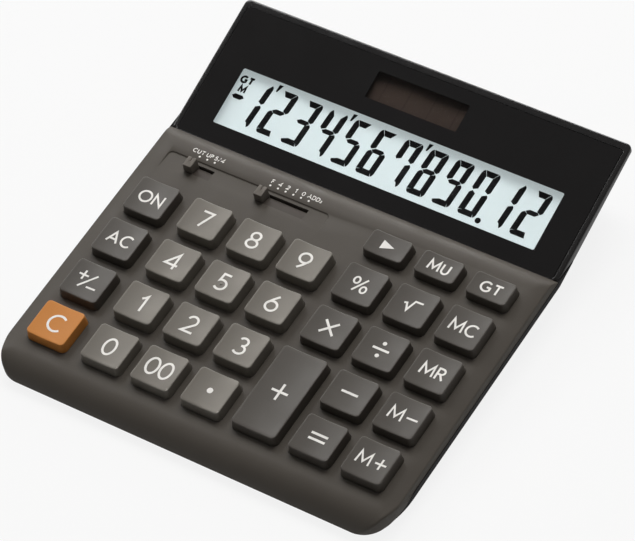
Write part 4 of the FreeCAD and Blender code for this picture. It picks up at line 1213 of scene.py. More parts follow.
@dataclass
class Key:
    """One key with its printed sign.

    Attributes:
        node: Name of the key's solid.
        column: Column from the left.
        front: Front edge of its row.
        kind: What it is moulded in.
        width, depth: Size of its top.
        sign: What is printed on it.
        seat: Depth of its row, in the middle of which its top lies.
        height: Height of its edge over the deck.
    """

    node: str
    column: int
    front: float
    kind: KeyKind
    width: float
    depth: float
    sign: str
    seat: float = PLAN.depth
    height: float = PLAN.height

    @property
    def centre(self) -> Point2:
        """Middle of the key's top. A key that is wider than its column lines up with it on the right."""
        x = PLAN.column(self.column) - max(self.width - PLAN.width, 0.0) / 2
        return x, self.front + max(self.seat, self.depth) / 2

    def flare_at(self, z: float) -> float:
        """Half of what the key grows by between its top and z."""
        return PLAN.flare * (self.height - z) / self.height

    def top(self, x: float, y: float) -> float:
        """Height of the dished top at a place counted from the key's middle."""
        return self.height - PLAN.dish * (1 - min((2 * x / self.width) ** 2, 1.0))

    def cap(self, draft: Draft) -> None:
        """Draw the cap: flange, drafted walls, rounded edge and dished top.

        Args:
            draft: Draft that takes the cap.
        """
        steps = {"corner": 6, "side": 8}

        def ring(grow: float, z: Surface, radius: float) -> list[int]:
            """One ring of the cap."""
            flat = rounded_ring(self.width + 2 * grow, self.depth + 2 * grow, radius, **steps)
            return draft.ring((x, y, z(x, y)) for x, y in flat)

        foot, waist = self.flare_at(0.0), self.flare_at(PLAN.wall_bend)
        radius = PLAN.corner + foot
        rings = [
            ring(foot + PLAN.flange, lambda x, y: PLAN.flange_low, radius),
            ring(foot + PLAN.flange, lambda x, y: PLAN.flange_top, radius),
            ring(foot, lambda x, y: PLAN.flange_top, radius),
            ring(foot, lambda x, y: 0.0, radius),
            ring(waist, lambda x, y: PLAN.wall_bend, PLAN.corner + waist),
        ]
        low = self.height - PLAN.edge
        for turn in PLAN.edge_turns:
            angle = math.radians(turn)
            inset = PLAN.edge * (1 - math.cos(angle)) - self.flare_at(low) * math.cos(angle)
            drop = PLAN.edge * (1 - math.sin(angle))
            radius = max(PLAN.corner - inset, PLAN.least_corner)
            rings.append(ring(-inset, lambda x, y: self.top(x, y) - drop, radius))
        width, depth = self.width - 2 * PLAN.edge, self.depth - 2 * PLAN.edge
        flat = rounded_ring(width, depth, PLAN.corner - PLAN.edge, **steps)
        for share in PLAN.dish_rings:
            rings.append(draft.ring((x * share, y * share, self.top(x * share, y)) for x, y in flat))
        for a, b in zip(rings, rings[1:]):
            draft.bridge(a, b)
        draft.face(rings[0][::-1])
        draft.fan(rings[-1], (0.0, 0.0, self.top(0.0, 0.0)))

    def print_sign(self, ink: Lettering) -> None:
        """Print the key's sign.

        Args:
            ink: Print on the key's top.
        """
        pen, bold = PLAN.pen, PLAN.bold_pen
        if self.sign.isdigit() or self.sign == "C":
            ink.text(self.sign, 0.0, -0.05, PLAN.figure, 0.8, 0.04)
        elif self.sign == "dot":
            ink.dot(0.0, 0.0, 1.05)
        elif self.sign == "play":
            ink.area([(-2.3, -1.8), (2.4, 0.0), (-2.3, 1.8)])
        elif self.sign in ("plus", "minus", "equals", "divide"):
            for offset in {"equals": (-1.05, 1.05)}.get(self.sign, (0.0,)):
                ink.line([(-3.0, offset), (3.0, offset)], bold)
            if self.sign == "plus":
                ink.line([(0.0, -3.25), (0.0, 3.25)], bold)
            if self.sign == "divide":
                ink.dot(0.0, 2.5, 0.72)
                ink.dot(0.0, -2.5, 0.72)
        elif self.sign == "times":
            ink.line([(-2.5, -2.5), (2.5, 2.5)], bold)
            ink.line([(-2.5, 2.5), (2.5, -2.5)], bold)
        elif self.sign == "root":
            ink.line([(-2.95, 0.45), (-2.05, 0.75), (-0.95, -1.85), (0.35, 2.2), (3.2, 2.2)], pen)
        elif self.sign == "percent":
            ink.line(arc(-1.9, 1.35, 1.0, 1.25, 90, 450, 22), pen)
            ink.line(arc(1.9, -1.35, 1.0, 1.25, 90, 450, 22), pen)
            ink.line([(-1.7, -2.75), (1.7, 2.75)], pen)
        elif self.sign == "sign":
            ink.line([(-4.4, 1.55), (-0.8, 1.55)], pen)
            ink.line([(-2.6, -0.25), (-2.6, 3.35)], pen)
            ink.line([(-2.4, -3.1), (2.2, 2.9)], pen)
            ink.line([(0.6, -2.3), (4.2, -2.3)], pen)
        elif self.sign in ("M+", "M-"):
            shift = 0.0 if self.sign == "M+" else 0.2
            ink.sign("M", shift - 4.55, -2.15, 4.4, pen)
            ink.line([(1.6, 0.05), (5.6, 0.05)], pen)
            if self.sign == "M+":
                ink.line([(3.6, -1.95), (3.6, 2.05)], pen)
        else:
            height = PLAN.small_letter if self.depth == PLAN.short_depth else PLAN.letter
            ink.text(self.sign, 0.0, 0.0, height, 0.7, 0.11)

    def build(self) -> bpy.types.Object:
        """Make the key's piece.

        Returns:
            The cap with its print.
        """
        draft = Draft()
        self.cap(draft)
        self.print_sign(Lettering(draft, self.top, 1))
        if self.sign == "5":
            level = self.top(0, 0)
            touch_dot = [(0.42, level - 0.2), (0.42, level), (0.4, level + 0.2), (0.22, level + 0.3)]
            lathe(draft, touch_dot, -0.1, -0.95, 20)
        x, y = self.centre
        finishes = (self.kind.finish, LEGEND_INK)
        piece = draft.piece("cap_" + self.node, lambda p: STANCE.deck((p[0] + x, p[1] + y, p[2])), finishes)
        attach(piece, self.node + "_body")
        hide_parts(self.node)
        self.kind.slot
        return piece


@dataclass
class Keyboard:
    """All keys, laid out in columns and rows."""

    functions: tuple[tuple[str, int, int, str], ...] = (
        ("key_sign", 0, 1, "sign"), ("key_all_clear", 0, 2, "AC"), ("key_on", 0, 3, "ON"),
        ("key_equals", 5, 0, "equals"), ("key_memory_plus", 6, 0, "M+"),
        ("key_minus", 5, 1, "minus"), ("key_memory_minus", 6, 1, "M-"),
        ("key_times", 4, 2, "times"), ("key_divide", 5, 2, "divide"), ("key_memory_recall", 6, 2, "MR"),
        ("key_percent", 4, 3, "percent"), ("key_root", 5, 3, "root"), ("key_memory_clear", 6, 3, "MC"),
    )
    short: tuple[tuple[str, int, str], ...] = (
        ("key_backspace", 4, "play"), ("key_mark_up", 5, "MU"), ("key_grand_total", 6, "GT"),
    )

    def keys(self) -> list[Key]:
        """Every key in its place.

        Returns:
            The keys, all ready to be made.
        """
        full = (PLAN.width, PLAN.depth)
        tall = (PLAN.width + PLAN.tall_extra, PLAN.row_pitch + PLAN.depth)
        made = [
            Key("key_clear", 0, 0.0, KeyKind.CLEAR, *full, "C"),
            Key("key_plus", 4, 0.0, KeyKind.FUNCTION, *tall, "plus"),
            Key("key_0", 1, 0.0, KeyKind.DIGIT, *full, "0"),
            Key("key_00", 2, 0.0, KeyKind.DIGIT, *full, "00"),
            Key("key_point", 3, 0.0, KeyKind.DIGIT, *full, "dot"),
        ]
        for digit in range(1, 10):
            column, row = 1 + (digit - 1) % 3, 1 + (digit - 1) // 3
            made.append(Key(
                f"key_{digit}", column, row * PLAN.row_pitch, KeyKind.DIGIT,
                PLAN.digit_width, PLAN.digit_depth, str(digit), PLAN.depth, PLAN.height + PLAN.digit_rise,
            ))
        for node, column, row, sign in self.functions:
            made.append(Key(node, column, row * PLAN.row_pitch, KeyKind.FUNCTION, *full, sign))
        deep = PLAN.short_depth
        for node, column, sign in self.short:
            made.append(Key(node, column, PLAN.top_row, KeyKind.FUNCTION, PLAN.width, deep, sign, deep))
        return made

    def build(self) -> list[bpy.types.Object]:
        """Make every key."""
        return [key.build() for key in self.keys()]


# Upper shell


@dataclass
class Deck:
    """Skin of the keyboard shell: rolled edges, key holes, selector recess and slots."""

    roll_start: float = -5.0
    roll_radius: float = 9.5
    side_width: float = 6.8
    side_drop: float = 1.2
    crest_start: float = 88.3
    crest_length: float = 7.0
    crest_drop: float = 3.0
    edge_round: float = 0.55
    side_round: float = 0.6
    wall: float = 1.6
    recess: Span = (-67.9, -4.1, 77.0, 85.2)
    recess_depth: float = 0.45
    recess_corner: float = 2.0
    recess_edge: float = 0.5
    slots: tuple[tuple[float, float], ...] = ((-58.95, -49.03), (-30.9, -11.95))
    slot_front: float = 79.4
    slot_rear: float = 83.7
    slot_low: float = -1.2
    slot_edge: float = 0.06
    slit_depth: float = 0.9
    slit_gap: float = 0.02
    least_room: float = 0.05
    rim_reach: float = 0.02
    rim_drop: float = 0.04
    edge_insets: tuple[float, ...] = (0.04, 0.12, 0.24, 0.38, 0.55, 0.9)
    side_lines: tuple[float, ...] = (
        68.0, 68.8, 69.9, 71.0, 72.1, 73.2, 74.0, 74.25, 74.38, 74.46, 74.52, 74.58, 74.64, 74.7, 74.78,
        74.9, 75.05,
    )
    roll_lines: tuple[float, ...] = (-13.5, -13.1, -12.5, -11.8, -11.0, -10.0, -9.0, -7.9, -6.7, -5.5, -4.6)
    crest_lines: tuple[float, ...] = (87.9, 88.7, 89.6, 90.6, 91.6, 92.6, 93.5, 94.4)
    recess_insets: tuple[float, ...] = (0.0, 0.1, 0.2, 0.3, 0.4, 0.5, 0.62)

    def rolled(self, x: float, y: float) -> float:
        """Height of the deck before its outer edge is rounded.

        Args:
            x: Place across the deck.
            y: Place along the deck.

        Returns:
            The height, 0 on the level part.
        """
        run = side = 0.0
        if y < self.roll_start:
            reach = min(self.roll_start - y, self.roll_radius)
            run = self.roll_radius - math.sqrt(self.roll_radius ** 2 - reach ** 2)
        if y > self.crest_start:
            radius = (self.crest_length ** 2 + self.crest_drop ** 2) / (2 * self.crest_drop)
            run = radius - math.sqrt(radius ** 2 - min(y - self.crest_start, self.crest_length) ** 2)
        reach = abs(x) - (STANCE.half_width - self.side_width)
        if reach > 0:
            radius = (self.side_width ** 2 + self.side_drop ** 2) / (2 * self.side_drop)
            side = radius - math.sqrt(radius ** 2 - reach ** 2)
        return -((run ** 3 + side ** 3) ** (1 / 3)) if run or side else 0.0

    def in_recess(self, x: float, y: float) -> float:
        """Distance inside the selector recess from its left, right and rear edges, or less than 0.

        Args:
            x: Place across the deck.
            y: Place along the deck.

        Returns:
            The distance, less than 0 outside the recess.
        """
        left, right, front, rear = self.recess
        dx = min(x - left, right - x)
        dy = rear - y
        if y < front or dx < 0 or dy < 0:
            return -1.0
        if dx < self.recess_corner and dy < self.recess_corner:
            return self.recess_corner - math.hypot(self.recess_corner - dx, self.recess_corner - dy)
        return min(dx, dy)

    def height(self, x: float, y: float) -> float:
        """Height of the skin's upper face.

        Args:
            x: Place across the deck.
            y: Place along the deck.

        Returns:
            The height over the deck's plane.
        """
        z = self.rolled(x, y)
        wall = STANCE.side_plane(x)
        blend = max(self.side_round - abs(wall - z), 0.0)
        z = min(wall, z) - blend ** 2 / (4 * self.side_round)
        inset = STANCE.inset(x, y)
        room = max(min(z - STANCE.seam_z(y), self.edge_round), self.least_room)
        if inset < room:
            gap = room - max(inset, 0.0)
            z -= room - math.sqrt(max(room ** 2 - gap ** 2, 0.0))
        depth = self.in_recess(x, y)
        if depth > 0:
            front, rear = self.recess[2:]
            share = min(depth / self.recess_edge, 1.0)
            share = share * share * (3 - 2 * share)
            z -= share * self.recess_depth * (y - front) / (rear - front)
        depth = self.in_slot(x, y)
        if depth > 0:
            share = min(depth / self.slot_edge, 1.0)
            along = (y - self.slot_front) / (self.slot_rear - self.slot_front)
            z += share * along * (self.slot_low - z)
        return z

    def in_slot(self, x: float, y: float) -> float:
        """Distance inside a selector's slot from its left, right and rear edges, or less than 0.

        Args:
            x: Place across the deck.
            y: Place along the deck.

        Returns:
            The distance, less than 0 outside both slots.
        """
        if not self.slot_front < y < self.slot_rear:
            return -1.0
        return max(min(x - left, right - x, self.slot_rear - y) for left, right in self.slots)

    def recess_line(self, inset: float) -> list[Point2]:
        """Line along the left, rear and right edges of the recess, drawn in by inset.

        Args:
            inset: How far the line is drawn in.

        Returns:
            The points, from the left front round the rear to the right front.
        """
        left, right, front, rear = self.recess
        radius = self.recess_corner - inset
        line = [(left + inset, front)]
        line += arc(left + inset + radius, rear - inset - radius, radius, radius, 180, 90, 8)
        line += arc(right - inset - radius, rear - inset - radius, radius, radius, 90, 0, 8)
        return line + [(right - inset, front)]

    def holes(self) -> list[list[Point2]]:
        """Outlines of the key holes and of the slits in the selector slots.

        Returns:
            The outlines, counterclockwise.
        """
        loops = []
        for key in Keyboard().keys():
            grow = key.flare_at(0.0) + PLAN.hole_gap
            ring = rounded_ring(key.width + 2 * grow, key.depth + 2 * grow, PLAN.corner + grow, 6, 3)
            loops.append(shifted(ring, *key.centre))
        gap = self.slot_edge + self.slit_gap
        for left, right in self.slots:
            low, high = left + gap, right - gap
            front, rear = self.slot_rear - self.slit_depth, self.slot_rear - gap
            loops.append([(low, front), (high, front), (high, rear), (low, rear)])
        return loops

    def lines(self) -> list[list[Point2]]:
        """Lines that the skin's mesh follows across its curved parts.

        Returns:
            The lines, each from end to end.
        """
        w = STANCE.half_width
        hinge = STANCE.hinge_y
        made = [STANCE.edge_line(inset, hinge) for inset in self.edge_insets]
        for x in self.side_lines:
            made += [[(side * x, hinge), (side * x, STANCE.front_y + 1.0)] for side in (-1, 1)]
        made += [[(-w + 1, y), (w - 1, y)] for y in self.roll_lines]
        made += [[(-w, y), (w, y)] for y in self.crest_lines]
        made += [self.recess_line(inset) for inset in self.recess_insets]
        left, right, front, _ = self.recess
        made.append([(left - self.recess_edge, front), (right + self.recess_edge, front)])
        front = self.slot_front
        for left, right in self.slots:
            for gap in (0.0, self.slot_edge):
                low, high, rear = left + gap, right - gap, self.slot_rear - gap
                made.append([(low, front), (low, rear), (high, rear), (high, front)])
            made.append([(left, front), (right, front)])
        return made

    def skin(self) -> bpy.types.Mesh:
        """Mesh of the skin's upper face and its edge down to the joint line, one face thick.

        Returns:
            The mesh, still flat on the deck.
        """
        outline = STANCE.edge_line(0.0, STANCE.hinge_y)
        points: list[Point2] = list(outline)
        edges: list[tuple[int, int]] = []
        faces = [list(range(len(outline)))]
        for loop in self.holes():
            start = len(points)
            points += loop
            faces.append(list(range(start, len(points))))
        for line in self.lines():
            start = len(points)
            points += line
            edges += [(i, i + 1) for i in range(start, len(points) - 1)]
        made = delaunay_2d_cdt([Vector(p) for p in points], edges, faces, 0, 1e-4, True)
        flat, tris, owners = made[0], made[2], made[5]
        mesh = bmesh.new()
        verts = [mesh.verts.new((p.x, p.y, self.height(p.x, p.y))) for p in flat]
        for tri, owner in zip(tris, owners):
            if 0 in owner and len(owner) == 1:
                mesh.faces.new([verts[i] for i in tri])
        self._close_edge(mesh)
        data = bpy.data.meshes.new("deck_skin")
        bmesh.ops.delete(mesh, geom=[v for v in mesh.verts if not v.link_faces], context="VERTS")
        bmesh.ops.recalc_face_normals(mesh, faces=mesh.faces)
        if sum(f.normal.z * f.calc_area() for f in mesh.faces) < 0:
            bmesh.ops.reverse_faces(mesh, faces=mesh.faces)
        # Faces on the slots' floors take the second, darker finish, which paints the shade inside the slots.
        for face in mesh.faces:
            middle = face.calc_center_median()
            face.material_index = int(self.in_slot(middle.x, middle.y) > self.slot_edge)
        mesh.to_mesh(data)
        mesh.free()
        return data

    def _close_edge(self, mesh: bmesh.types.BMesh) -> None:
        """Carry the outer edge of the skin straight down to the joint line.

        Args:
            mesh: The skin's mesh, which it changes.
        """

        def outside(vert: bmesh.types.BMVert) -> bool:
            """Whether a point lies on the outer edge."""
            x, y, _ = vert.co
            return min(STANCE.inset(x, y), STANCE.side_edge - abs(x)) < self.rim_reach

        rim = [e for e in mesh.edges if len(e.link_faces) == 1 and all(outside(v) for v in e.verts)]
        below = {}
        for edge in rim:
            for vert in edge.verts:
                if vert not in below:
                    low = min(STANCE.seam_z(vert.co.y), vert.co.z - self.rim_drop)
                    below[vert] = mesh.verts.new((vert.co.x, vert.co.y, low))
        for edge in rim:
            a, b = edge.verts
            mesh.faces.new((a, b, below[b], below[a]))

    def build(self) -> bpy.types.Object:
        """Make the shell with its thickness.

        Returns:
            The shell's piece.
        """
        obj = bpy.data.objects.new("keyboard_shell", self.skin())
        bpy.context.scene.collection.objects.link(obj)
        thick = obj.modifiers.new("thickness", "SOLIDIFY")
        thick.thickness = self.wall
        thick.offset = -1.0
        mesh = baked(obj)
        bpy.data.objects.remove(obj)
        for vert in mesh.vertices:
            vert.co = STANCE.deck(tuple(vert.co))
        for finish in (DECK_PLASTIC, SLOT_SHADE_PLASTIC):
            mesh.materials.append(finish.material())
        smooth(mesh, CREASE)
        shell = bpy.data.objects.new("keyboard_shell", mesh)
        bpy.context.scene.collection.objects.link(shell)
        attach(shell, CASE)
        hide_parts("upper_case")
        return shell


@dataclass
class SelectorPrint:
    """Printed scale of each selector, on the deck behind the recess."""

    dot_y: float = 86.75
    text_y: float = 88.55
    height: float = 1.75
    pen: float = 0.27
    step: float = 3.01
    rounding_x: float = -57.05
    decimal_x: float = -28.95
    add_x: float = -12.95
    dot_radius: float = 0.36

    def build(self, deck: Deck) -> bpy.types.Object:
        """Make both scales as one piece of print on the deck.

        Args:
            deck: The shell that takes the print.

        Returns:
            The print's piece.
        """
        draft = Draft()
        ink = Lettering(draft, deck.height, 0, 0.02)
        for start, count in ((self.rounding_x, 3), (self.decimal_x, 6)):
            for i in range(count):
                ink.dot(start + i * self.step, self.dot_y, self.dot_radius)
        for word, x in (("CUT", -58.35), ("UP", -54.0), ("5/4", -50.1)):
            ink.text(word, x, self.text_y, self.height, self.pen, 0.14)
        for i, sign in enumerate("F4210"):
            ink.text(sign, self.decimal_x + i * self.step, self.text_y, self.height, self.pen)
        width = ink.text("ADD", self.add_x, self.text_y, self.height, self.pen, 0.12)
        ink.text("2", self.add_x + width / 2 + 0.75, self.text_y - 0.42, 0.95, 0.2)
        piece = draft.piece("selector_print", STANCE.deck, (LEGEND_INK,))
        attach(piece, CASE)
        return piece


@dataclass
class Knob:
    """Thumb piece of a selector: tapered, with an index groove, its neck in the slit and a slider plate."""

    node: str
    body: str
    x: float
    width: float = 3.5
    top_width: float = 3.1
    height: float = 3.4
    gap: float = 0.1
    groove: tuple[float, float, float] = (0.45, 1.7, 0.4)
    plate: tuple[float, float, float] = (12.0, 6.6, 0.9)
    plate_top: float = -1.9
    edge: float = 0.22
    crease: float = 50.0

    def block(self, low: Sequence[Point3], high: Sequence[Point3]) -> bpy.types.Object:
        """Six-sided block between two outlines of four points, about the selector's place.

        Args:
            low: Corners of its lower face, counterclockwise from above.
            high: Corners of its upper face.

        Returns:
            The block, on the deck in millimetres.
        """
        draft = Draft()
        bottom, top = draft.ring(low), draft.ring(high)
        draft.bridge(bottom, top)
        draft.face(bottom[::-1])
        draft.face(top)
        return draft.piece("block", lambda p: Vector((p[0] + self.x, p[1], p[2])), (SELECTOR_PLASTIC,))

    def corners(self, half: float, front: float, rear: float, low: float, high: float) -> list[Point3]:
        """Four corners of a level or sloping outline, low at the front and high at the rear."""
        return [(-half, front, low), (half, front, low), (half, rear, high), (-half, rear, high)]

    def build(self, deck: Deck) -> bpy.types.Object:
        """Make the thumb piece with softened edges, then its neck and plate.

        Args:
            deck: The shell with the selector's slot.

        Returns:
            The knob's piece.
        """
        front, rear = deck.slot_front + self.gap, deck.slot_rear - self.gap
        head = self.block(
            self.corners(self.width / 2, front, rear, -0.05, deck.slot_low + 0.2),
            self.corners(self.top_width / 2, front, rear, self.height, self.height),
        )
        width, length, depth = self.groove
        start, end, low, high = rear - length, rear + 1.0, self.height - depth, self.height + 1.0
        cutter = self.block(
            self.corners(width / 2, start, end, low, low), self.corners(width / 2, start, end, high, high),
        )
        cut = head.modifiers.new("groove", "BOOLEAN")
        cut.operation, cut.solver, cut.object = "DIFFERENCE", "EXACT", cutter
        soft = head.modifiers.new("edges", "BEVEL")
        soft.width, soft.segments = self.edge, 3
        soft.limit_method, soft.angle_limit = "ANGLE", math.radians(self.crease)
        soft.use_clamp_overlap = True
        mesh = bmesh.new()
        mesh.from_mesh(baked(head))
        for part in self._hidden_parts(deck, rear):
            mesh.from_mesh(part.data)
            bpy.data.objects.remove(part)
        data = bpy.data.meshes.new("thumb_piece")
        mesh.to_mesh(data)
        mesh.free()
        for obj in (head, cutter):
            bpy.data.objects.remove(obj)
        for vert in data.vertices:
            vert.co = STANCE.deck(tuple(vert.co))
        data.materials.append(SELECTOR_PLASTIC.material())
        smooth(data, self.crease)
        piece = bpy.data.objects.new("thumb_" + self.node, data)
        bpy.context.scene.collection.objects.link(piece)
        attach(piece, self.body)
        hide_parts(self.node)
        return piece

    def _hidden_parts(self, deck: Deck, rear: float) -> list[bpy.types.Object]:
        """Neck in the slit and slider plate under the deck.

        Args:
            deck: The shell with the selector's slot.
            rear: Rear face of the thumb piece.

        Returns:
            The neck and the plate, on the deck in millimetres.
        """
        half = self.width / 2 - self.gap
        start = deck.slot_rear - deck.slit_depth + self.gap
        middle = (deck.slot_front + deck.slot_rear) / 2
        wide, deep, thick = self.plate
        high = self.plate_top
        low, root = high - thick, high - 0.2
        ends = (middle - deep / 2, middle + deep / 2)
        neck = self.block(
            self.corners(half, start, rear, root, root), self.corners(half, start, rear, 0.0, 0.0),
        )
        plate = self.block(
            self.corners(wide / 2, *ends, low, low), self.corners(wide / 2, *ends, high, high),
        )
        return [neck, plate]


KNOBS = (Knob("rounding_knob", "rounding_selector", -57.0), Knob("decimal_knob", "decimal_selector", -28.95))


def baked(obj: bpy.types.Object) -> bpy.types.Mesh:
    """Mesh of an object with its modifiers applied."""
    graph = bpy.context.evaluated_depsgraph_get()
    return bpy.data.meshes.new_from_object(obj.evaluated_get(graph))


# Display


@dataclass
class Window:
    """Printed window sheet with a clear view of the display and of the solar cell."""

    half_width: float = 72.7
    front: float = 0.15
    rear: float = 49.7
    corner: float = 0.4
    lift: float = 0.03
    thickness: float = 1.5
    print_depth: float = 0.10
    view: Span = (-62.15, 62.15, 7.0, 28.7)
    view_corner: float = 0.6
    sun: Span = (-17.6, 17.6, 34.75, 45.0)
    sun_corner: float = 0.4
    edge: float = 0.12
    pane_thickness: float = 0.4
    pane_grip: float = 0.25
    pane_gap: float = 0.01

    def opening(self, span: Span, corner: float, grow: float = 0.0) -> list[Point2]:
        """Outline of an opening, made larger by grow.

        Args:
            span: Left, right, front and rear ends.
            corner: Corner radius.
            grow: What it grows by on each side.

        Returns:
            The outline, counterclockwise.
        """
        left, right, front, rear = span
        ring = rounded_ring(right - left + 2 * grow, rear - front + 2 * grow, corner + grow, 8, 4)
        return shifted(ring, (left + right) / 2, (front + rear) / 2)

    def border(self) -> Draft:
        """Sheet with both openings through its printed face and a rounded outer edge.

        Returns:
            The drawn sheet.
        """
        draft = Draft()
        mid_y = (self.front + self.rear) / 2
        width, depth = 2 * self.half_width, self.rear - self.front
        bend = 0.3 * self.edge
        levels = ((0.0, -self.thickness), (0.0, -self.edge), (bend, -bend), (self.edge, 0.0))
        rings = []
        for inset, z in levels:
            flat = rounded_ring(width - 2 * inset, depth - 2 * inset, self.corner, 8, 4)
            rings.append(draft.ring((x, y, z + self.lift) for x, y in shifted(flat, 0.0, mid_y)))
        for a, b in zip(rings, rings[1:]):
            draft.bridge(a, b)
        loops = [self.opening(self.view, self.view_corner), self.opening(self.sun, self.sun_corner)]
        self._face(draft, rings[-1], loops)
        return draft

    def _face(self, draft: Draft, outer: Sequence[int], loops: Sequence[Sequence[Point2]]) -> None:
        """Fill between the outer ring and the openings, and close their edges down to the panes.

        Args:
            draft: Draft that holds the ring.
            outer: Numbers of the outer ring.
            loops: Outlines of the openings.
        """
        edge = [draft.points[i][:2] for i in outer]
        points = list(edge)
        faces = [list(range(len(edge)))]
        for loop in loops:
            start = len(points)
            points += loop
            faces.append(list(range(start, len(points))))
        made = delaunay_2d_cdt([Vector(p) for p in points], [], faces, 0, 1e-5, True)
        ids = draft.ring((p.x, p.y, self.lift) for p in made[0])
        for tri, owner in zip(made[2], made[5]):
            if owner == [0]:
                draft.face([ids[i] for i in tri])
        for loop in loops:
            high = draft.ring((x, y, self.lift) for x, y in loop)
            low = draft.ring((x, y, -self.print_depth) for x, y in loop)
            draft.bridge(high, low)

    def build(self) -> list[bpy.types.Object]:
        """Make the printed border and both clear panes.

        Returns:
            The border and the panes.
        """
        border = self.border().piece("window_border", STANCE.panel, (WINDOW_PRINT,))
        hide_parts("display_lens")
        pieces = [border]
        high = -self.print_depth - self.pane_gap
        low = high - self.pane_thickness
        panes = (("display_pane", self.view, self.view_corner), ("solar_pane", self.sun, self.sun_corner))
        for name, span, corner in panes:
            draft = Draft()
            ring = self.opening(span, corner, self.pane_grip)
            draft.prism(ring, lambda x, y: low, lambda x, y: high)
            pane = draft.piece(name, STANCE.panel, (PANE,))
            pieces.append(pane)
        for piece in pieces:
            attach(piece, CASE)
        return pieces


@dataclass
class Digits:
    """Liquid crystal figures: slanted bars, thousands marks, a point and small signs."""

    level: float = -2.74
    first_x: float = -49.62
    pitch: float = 9.825
    width: float = 6.95
    height: float = 17.15
    base: float = 10.2
    slant: float = 0.088
    bar: float = 2.2
    cross: float = 2.1
    middle: float = 9.1
    shown: str = "123456789012"
    marked: tuple[int, ...] = (0, 3, 6)
    mark: tuple[Point2, ...] = ((1.35, 25.75), (1.6, 26.1), (2.6, 28.7), (1.05, 28.6), (0.9, 25.95))
    point_after: int = 9
    sign_x: float = -60.1
    minus: tuple[Point2, ...] = (
        (-62.5, 19.3), (-61.5, 18.4), (-59.0, 18.4), (-57.8, 19.4), (-58.7, 20.15), (-61.5, 20.15),
    )
    bars: dict[str, str] = field(default_factory=lambda: {
        "0": "abcdef", "1": "bc", "2": "abdeg", "3": "abcdg", "4": "bcfg", "5": "acdfg",
        "6": "acdefg", "7": "abcf", "8": "abcdefg", "9": "abcdfg",
    })

    def shapes(self) -> dict[str, list[Point2]]:
        """Outline of each bar in an upright figure, counterclockwise.

        Returns:
            The outlines by the bar's letter.
        """
        w, h, t, c, m = self.width, self.height, self.bar, self.cross, self.middle
        return {
            "a": [(1.05, h), (t + 0.12, h - c), (w - t - 0.12, h - c), (w - 1.05, h)],
            "b": [(w - 0.88, h - 0.04), (w - t, h - c + 0.05), (w - t, m + 1.05), (w - 0.72, m + 0.28),
                  (w, m + 1.0), (w, h - 1.35), (w - 0.32, h - 0.5)],
            "f": [(0.88, h - 0.04), (0.32, h - 0.5), (0.0, h - 1.35), (0.0, m + 1.0), (0.72, m + 0.28),
                  (t, m + 1.05), (t, h - c + 0.05)],
            "c": [(w - 0.72, m - 0.08), (w - t, m - 0.92), (w - t, 2.0), (w - 1.5, 1.6), (w - 0.72, 0.08),
                  (w - 0.25, 0.55), (w, 1.4), (w, m - 1.15), (w - 0.2, m - 0.6)],
            "e": [(0.95, m - 0.1), (0.25, m - 0.7), (0.02, m - 1.2), (0.02, 1.32), (t + 0.08, 1.98),
                  (t + 0.05, m - 0.92)],
            "d": [(0.16, 1.18), (0.45, 0.45), (1.1, 0.0), (w - 0.92, 0.0), (w - 1.62, c), (t + 0.15, c)],
            "g": [(1.12, m + 0.05), (2.15, m - 0.88), (w - 2.05, m - 0.88), (w - 0.95, m + 0.12),
                  (w - 1.75, m + 0.82), (2.35, m + 0.82)],
        }

    def build(self) -> bpy.types.Object:
        """Make every figure and sign as one piece on the display cell.

        Returns:
            The figures' piece.
        """
        draft = Draft()
        ink = Lettering(draft, lambda x, y: self.level, 0, 0.015)
        shapes = self.shapes()
        for i, digit in enumerate(self.shown):
            right = self.first_x + i * self.pitch
            left, base = right - self.width, self.base
            for bar in self.bars[digit]:
                ink.area([(left + u + self.slant * (v - self.height), base + v) for u, v in shapes[bar]])
            if i in self.marked:
                ink.area([(right + u, v) for u, v in self.mark])
        ink.dot(self.first_x + self.point_after * self.pitch + 0.05, 10.15, 1.05)
        ink.text("GT", self.sign_x, 25.85, 3.0, 0.78, 0.04, 0.05)
        ink.text("M", self.sign_x, 22.3, 3.0, 0.74, 0.0, 0.05)
        ink.area(self.minus)
        piece = draft.piece("display_figures", STANCE.panel, (SEGMENT_INK,))
        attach(piece, CASE)
        return piece


# Underside


@dataclass
class Underside:
    """Rubber feet, turned rounder than their solids."""

    foot_x: float = 56.0
    front_inset: float = 15.2
    rear_inset: float = 22.2
    foot_radius: float = 4.5
    foot_top: float = 1.9

    def feet(self) -> bpy.types.Object:
        """Four round feet with a soft edge and a shallow dish.

        Returns:
            The feet's piece.
        """
        draft = Draft()
        r = self.foot_radius
        dish = [(r - 1.3, 0.12), (r - 1.2, 0.02), (r - 0.9, 0.0)]
        profile = dish + [(r - 0.3, 0.0), (r - 0.08, 0.09), (r, 0.3), (r, self.foot_top)]
        for x in (-self.foot_x, self.foot_x):
            for y in (self.front_inset - STANCE.half_depth, STANCE.half_depth - self.rear_inset):
                lathe(draft, profile, x, y)
        piece = draft.piece("round_feet", STANCE.desk, (RUBBER,))
        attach(piece, CASE)
        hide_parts("rubber_feet")
        return piece


# Studio


def seen_directly(nodes: Nodes) -> bpy.types.NodeSocket:
    """1 for rays from the camera, also those that gloss and glass send on, or else 0.

    Args:
        nodes: Nodes of the material or the world.

    Returns:
        The socket with the 1 or 0.
    """
    path = nodes.add("ShaderNodeLightPath")
    mirrored = nodes.math("MAXIMUM", path.outputs["Is Glossy Ray"], path.outputs["Is Transmission Ray"])
    sharp = nodes.math("LESS_THAN", path.outputs["Diffuse Depth"], 0.5)
    return nodes.math("MULTIPLY", nodes.math("MAXIMUM", path.outputs["Is Camera Ray"], mirrored), sharp)


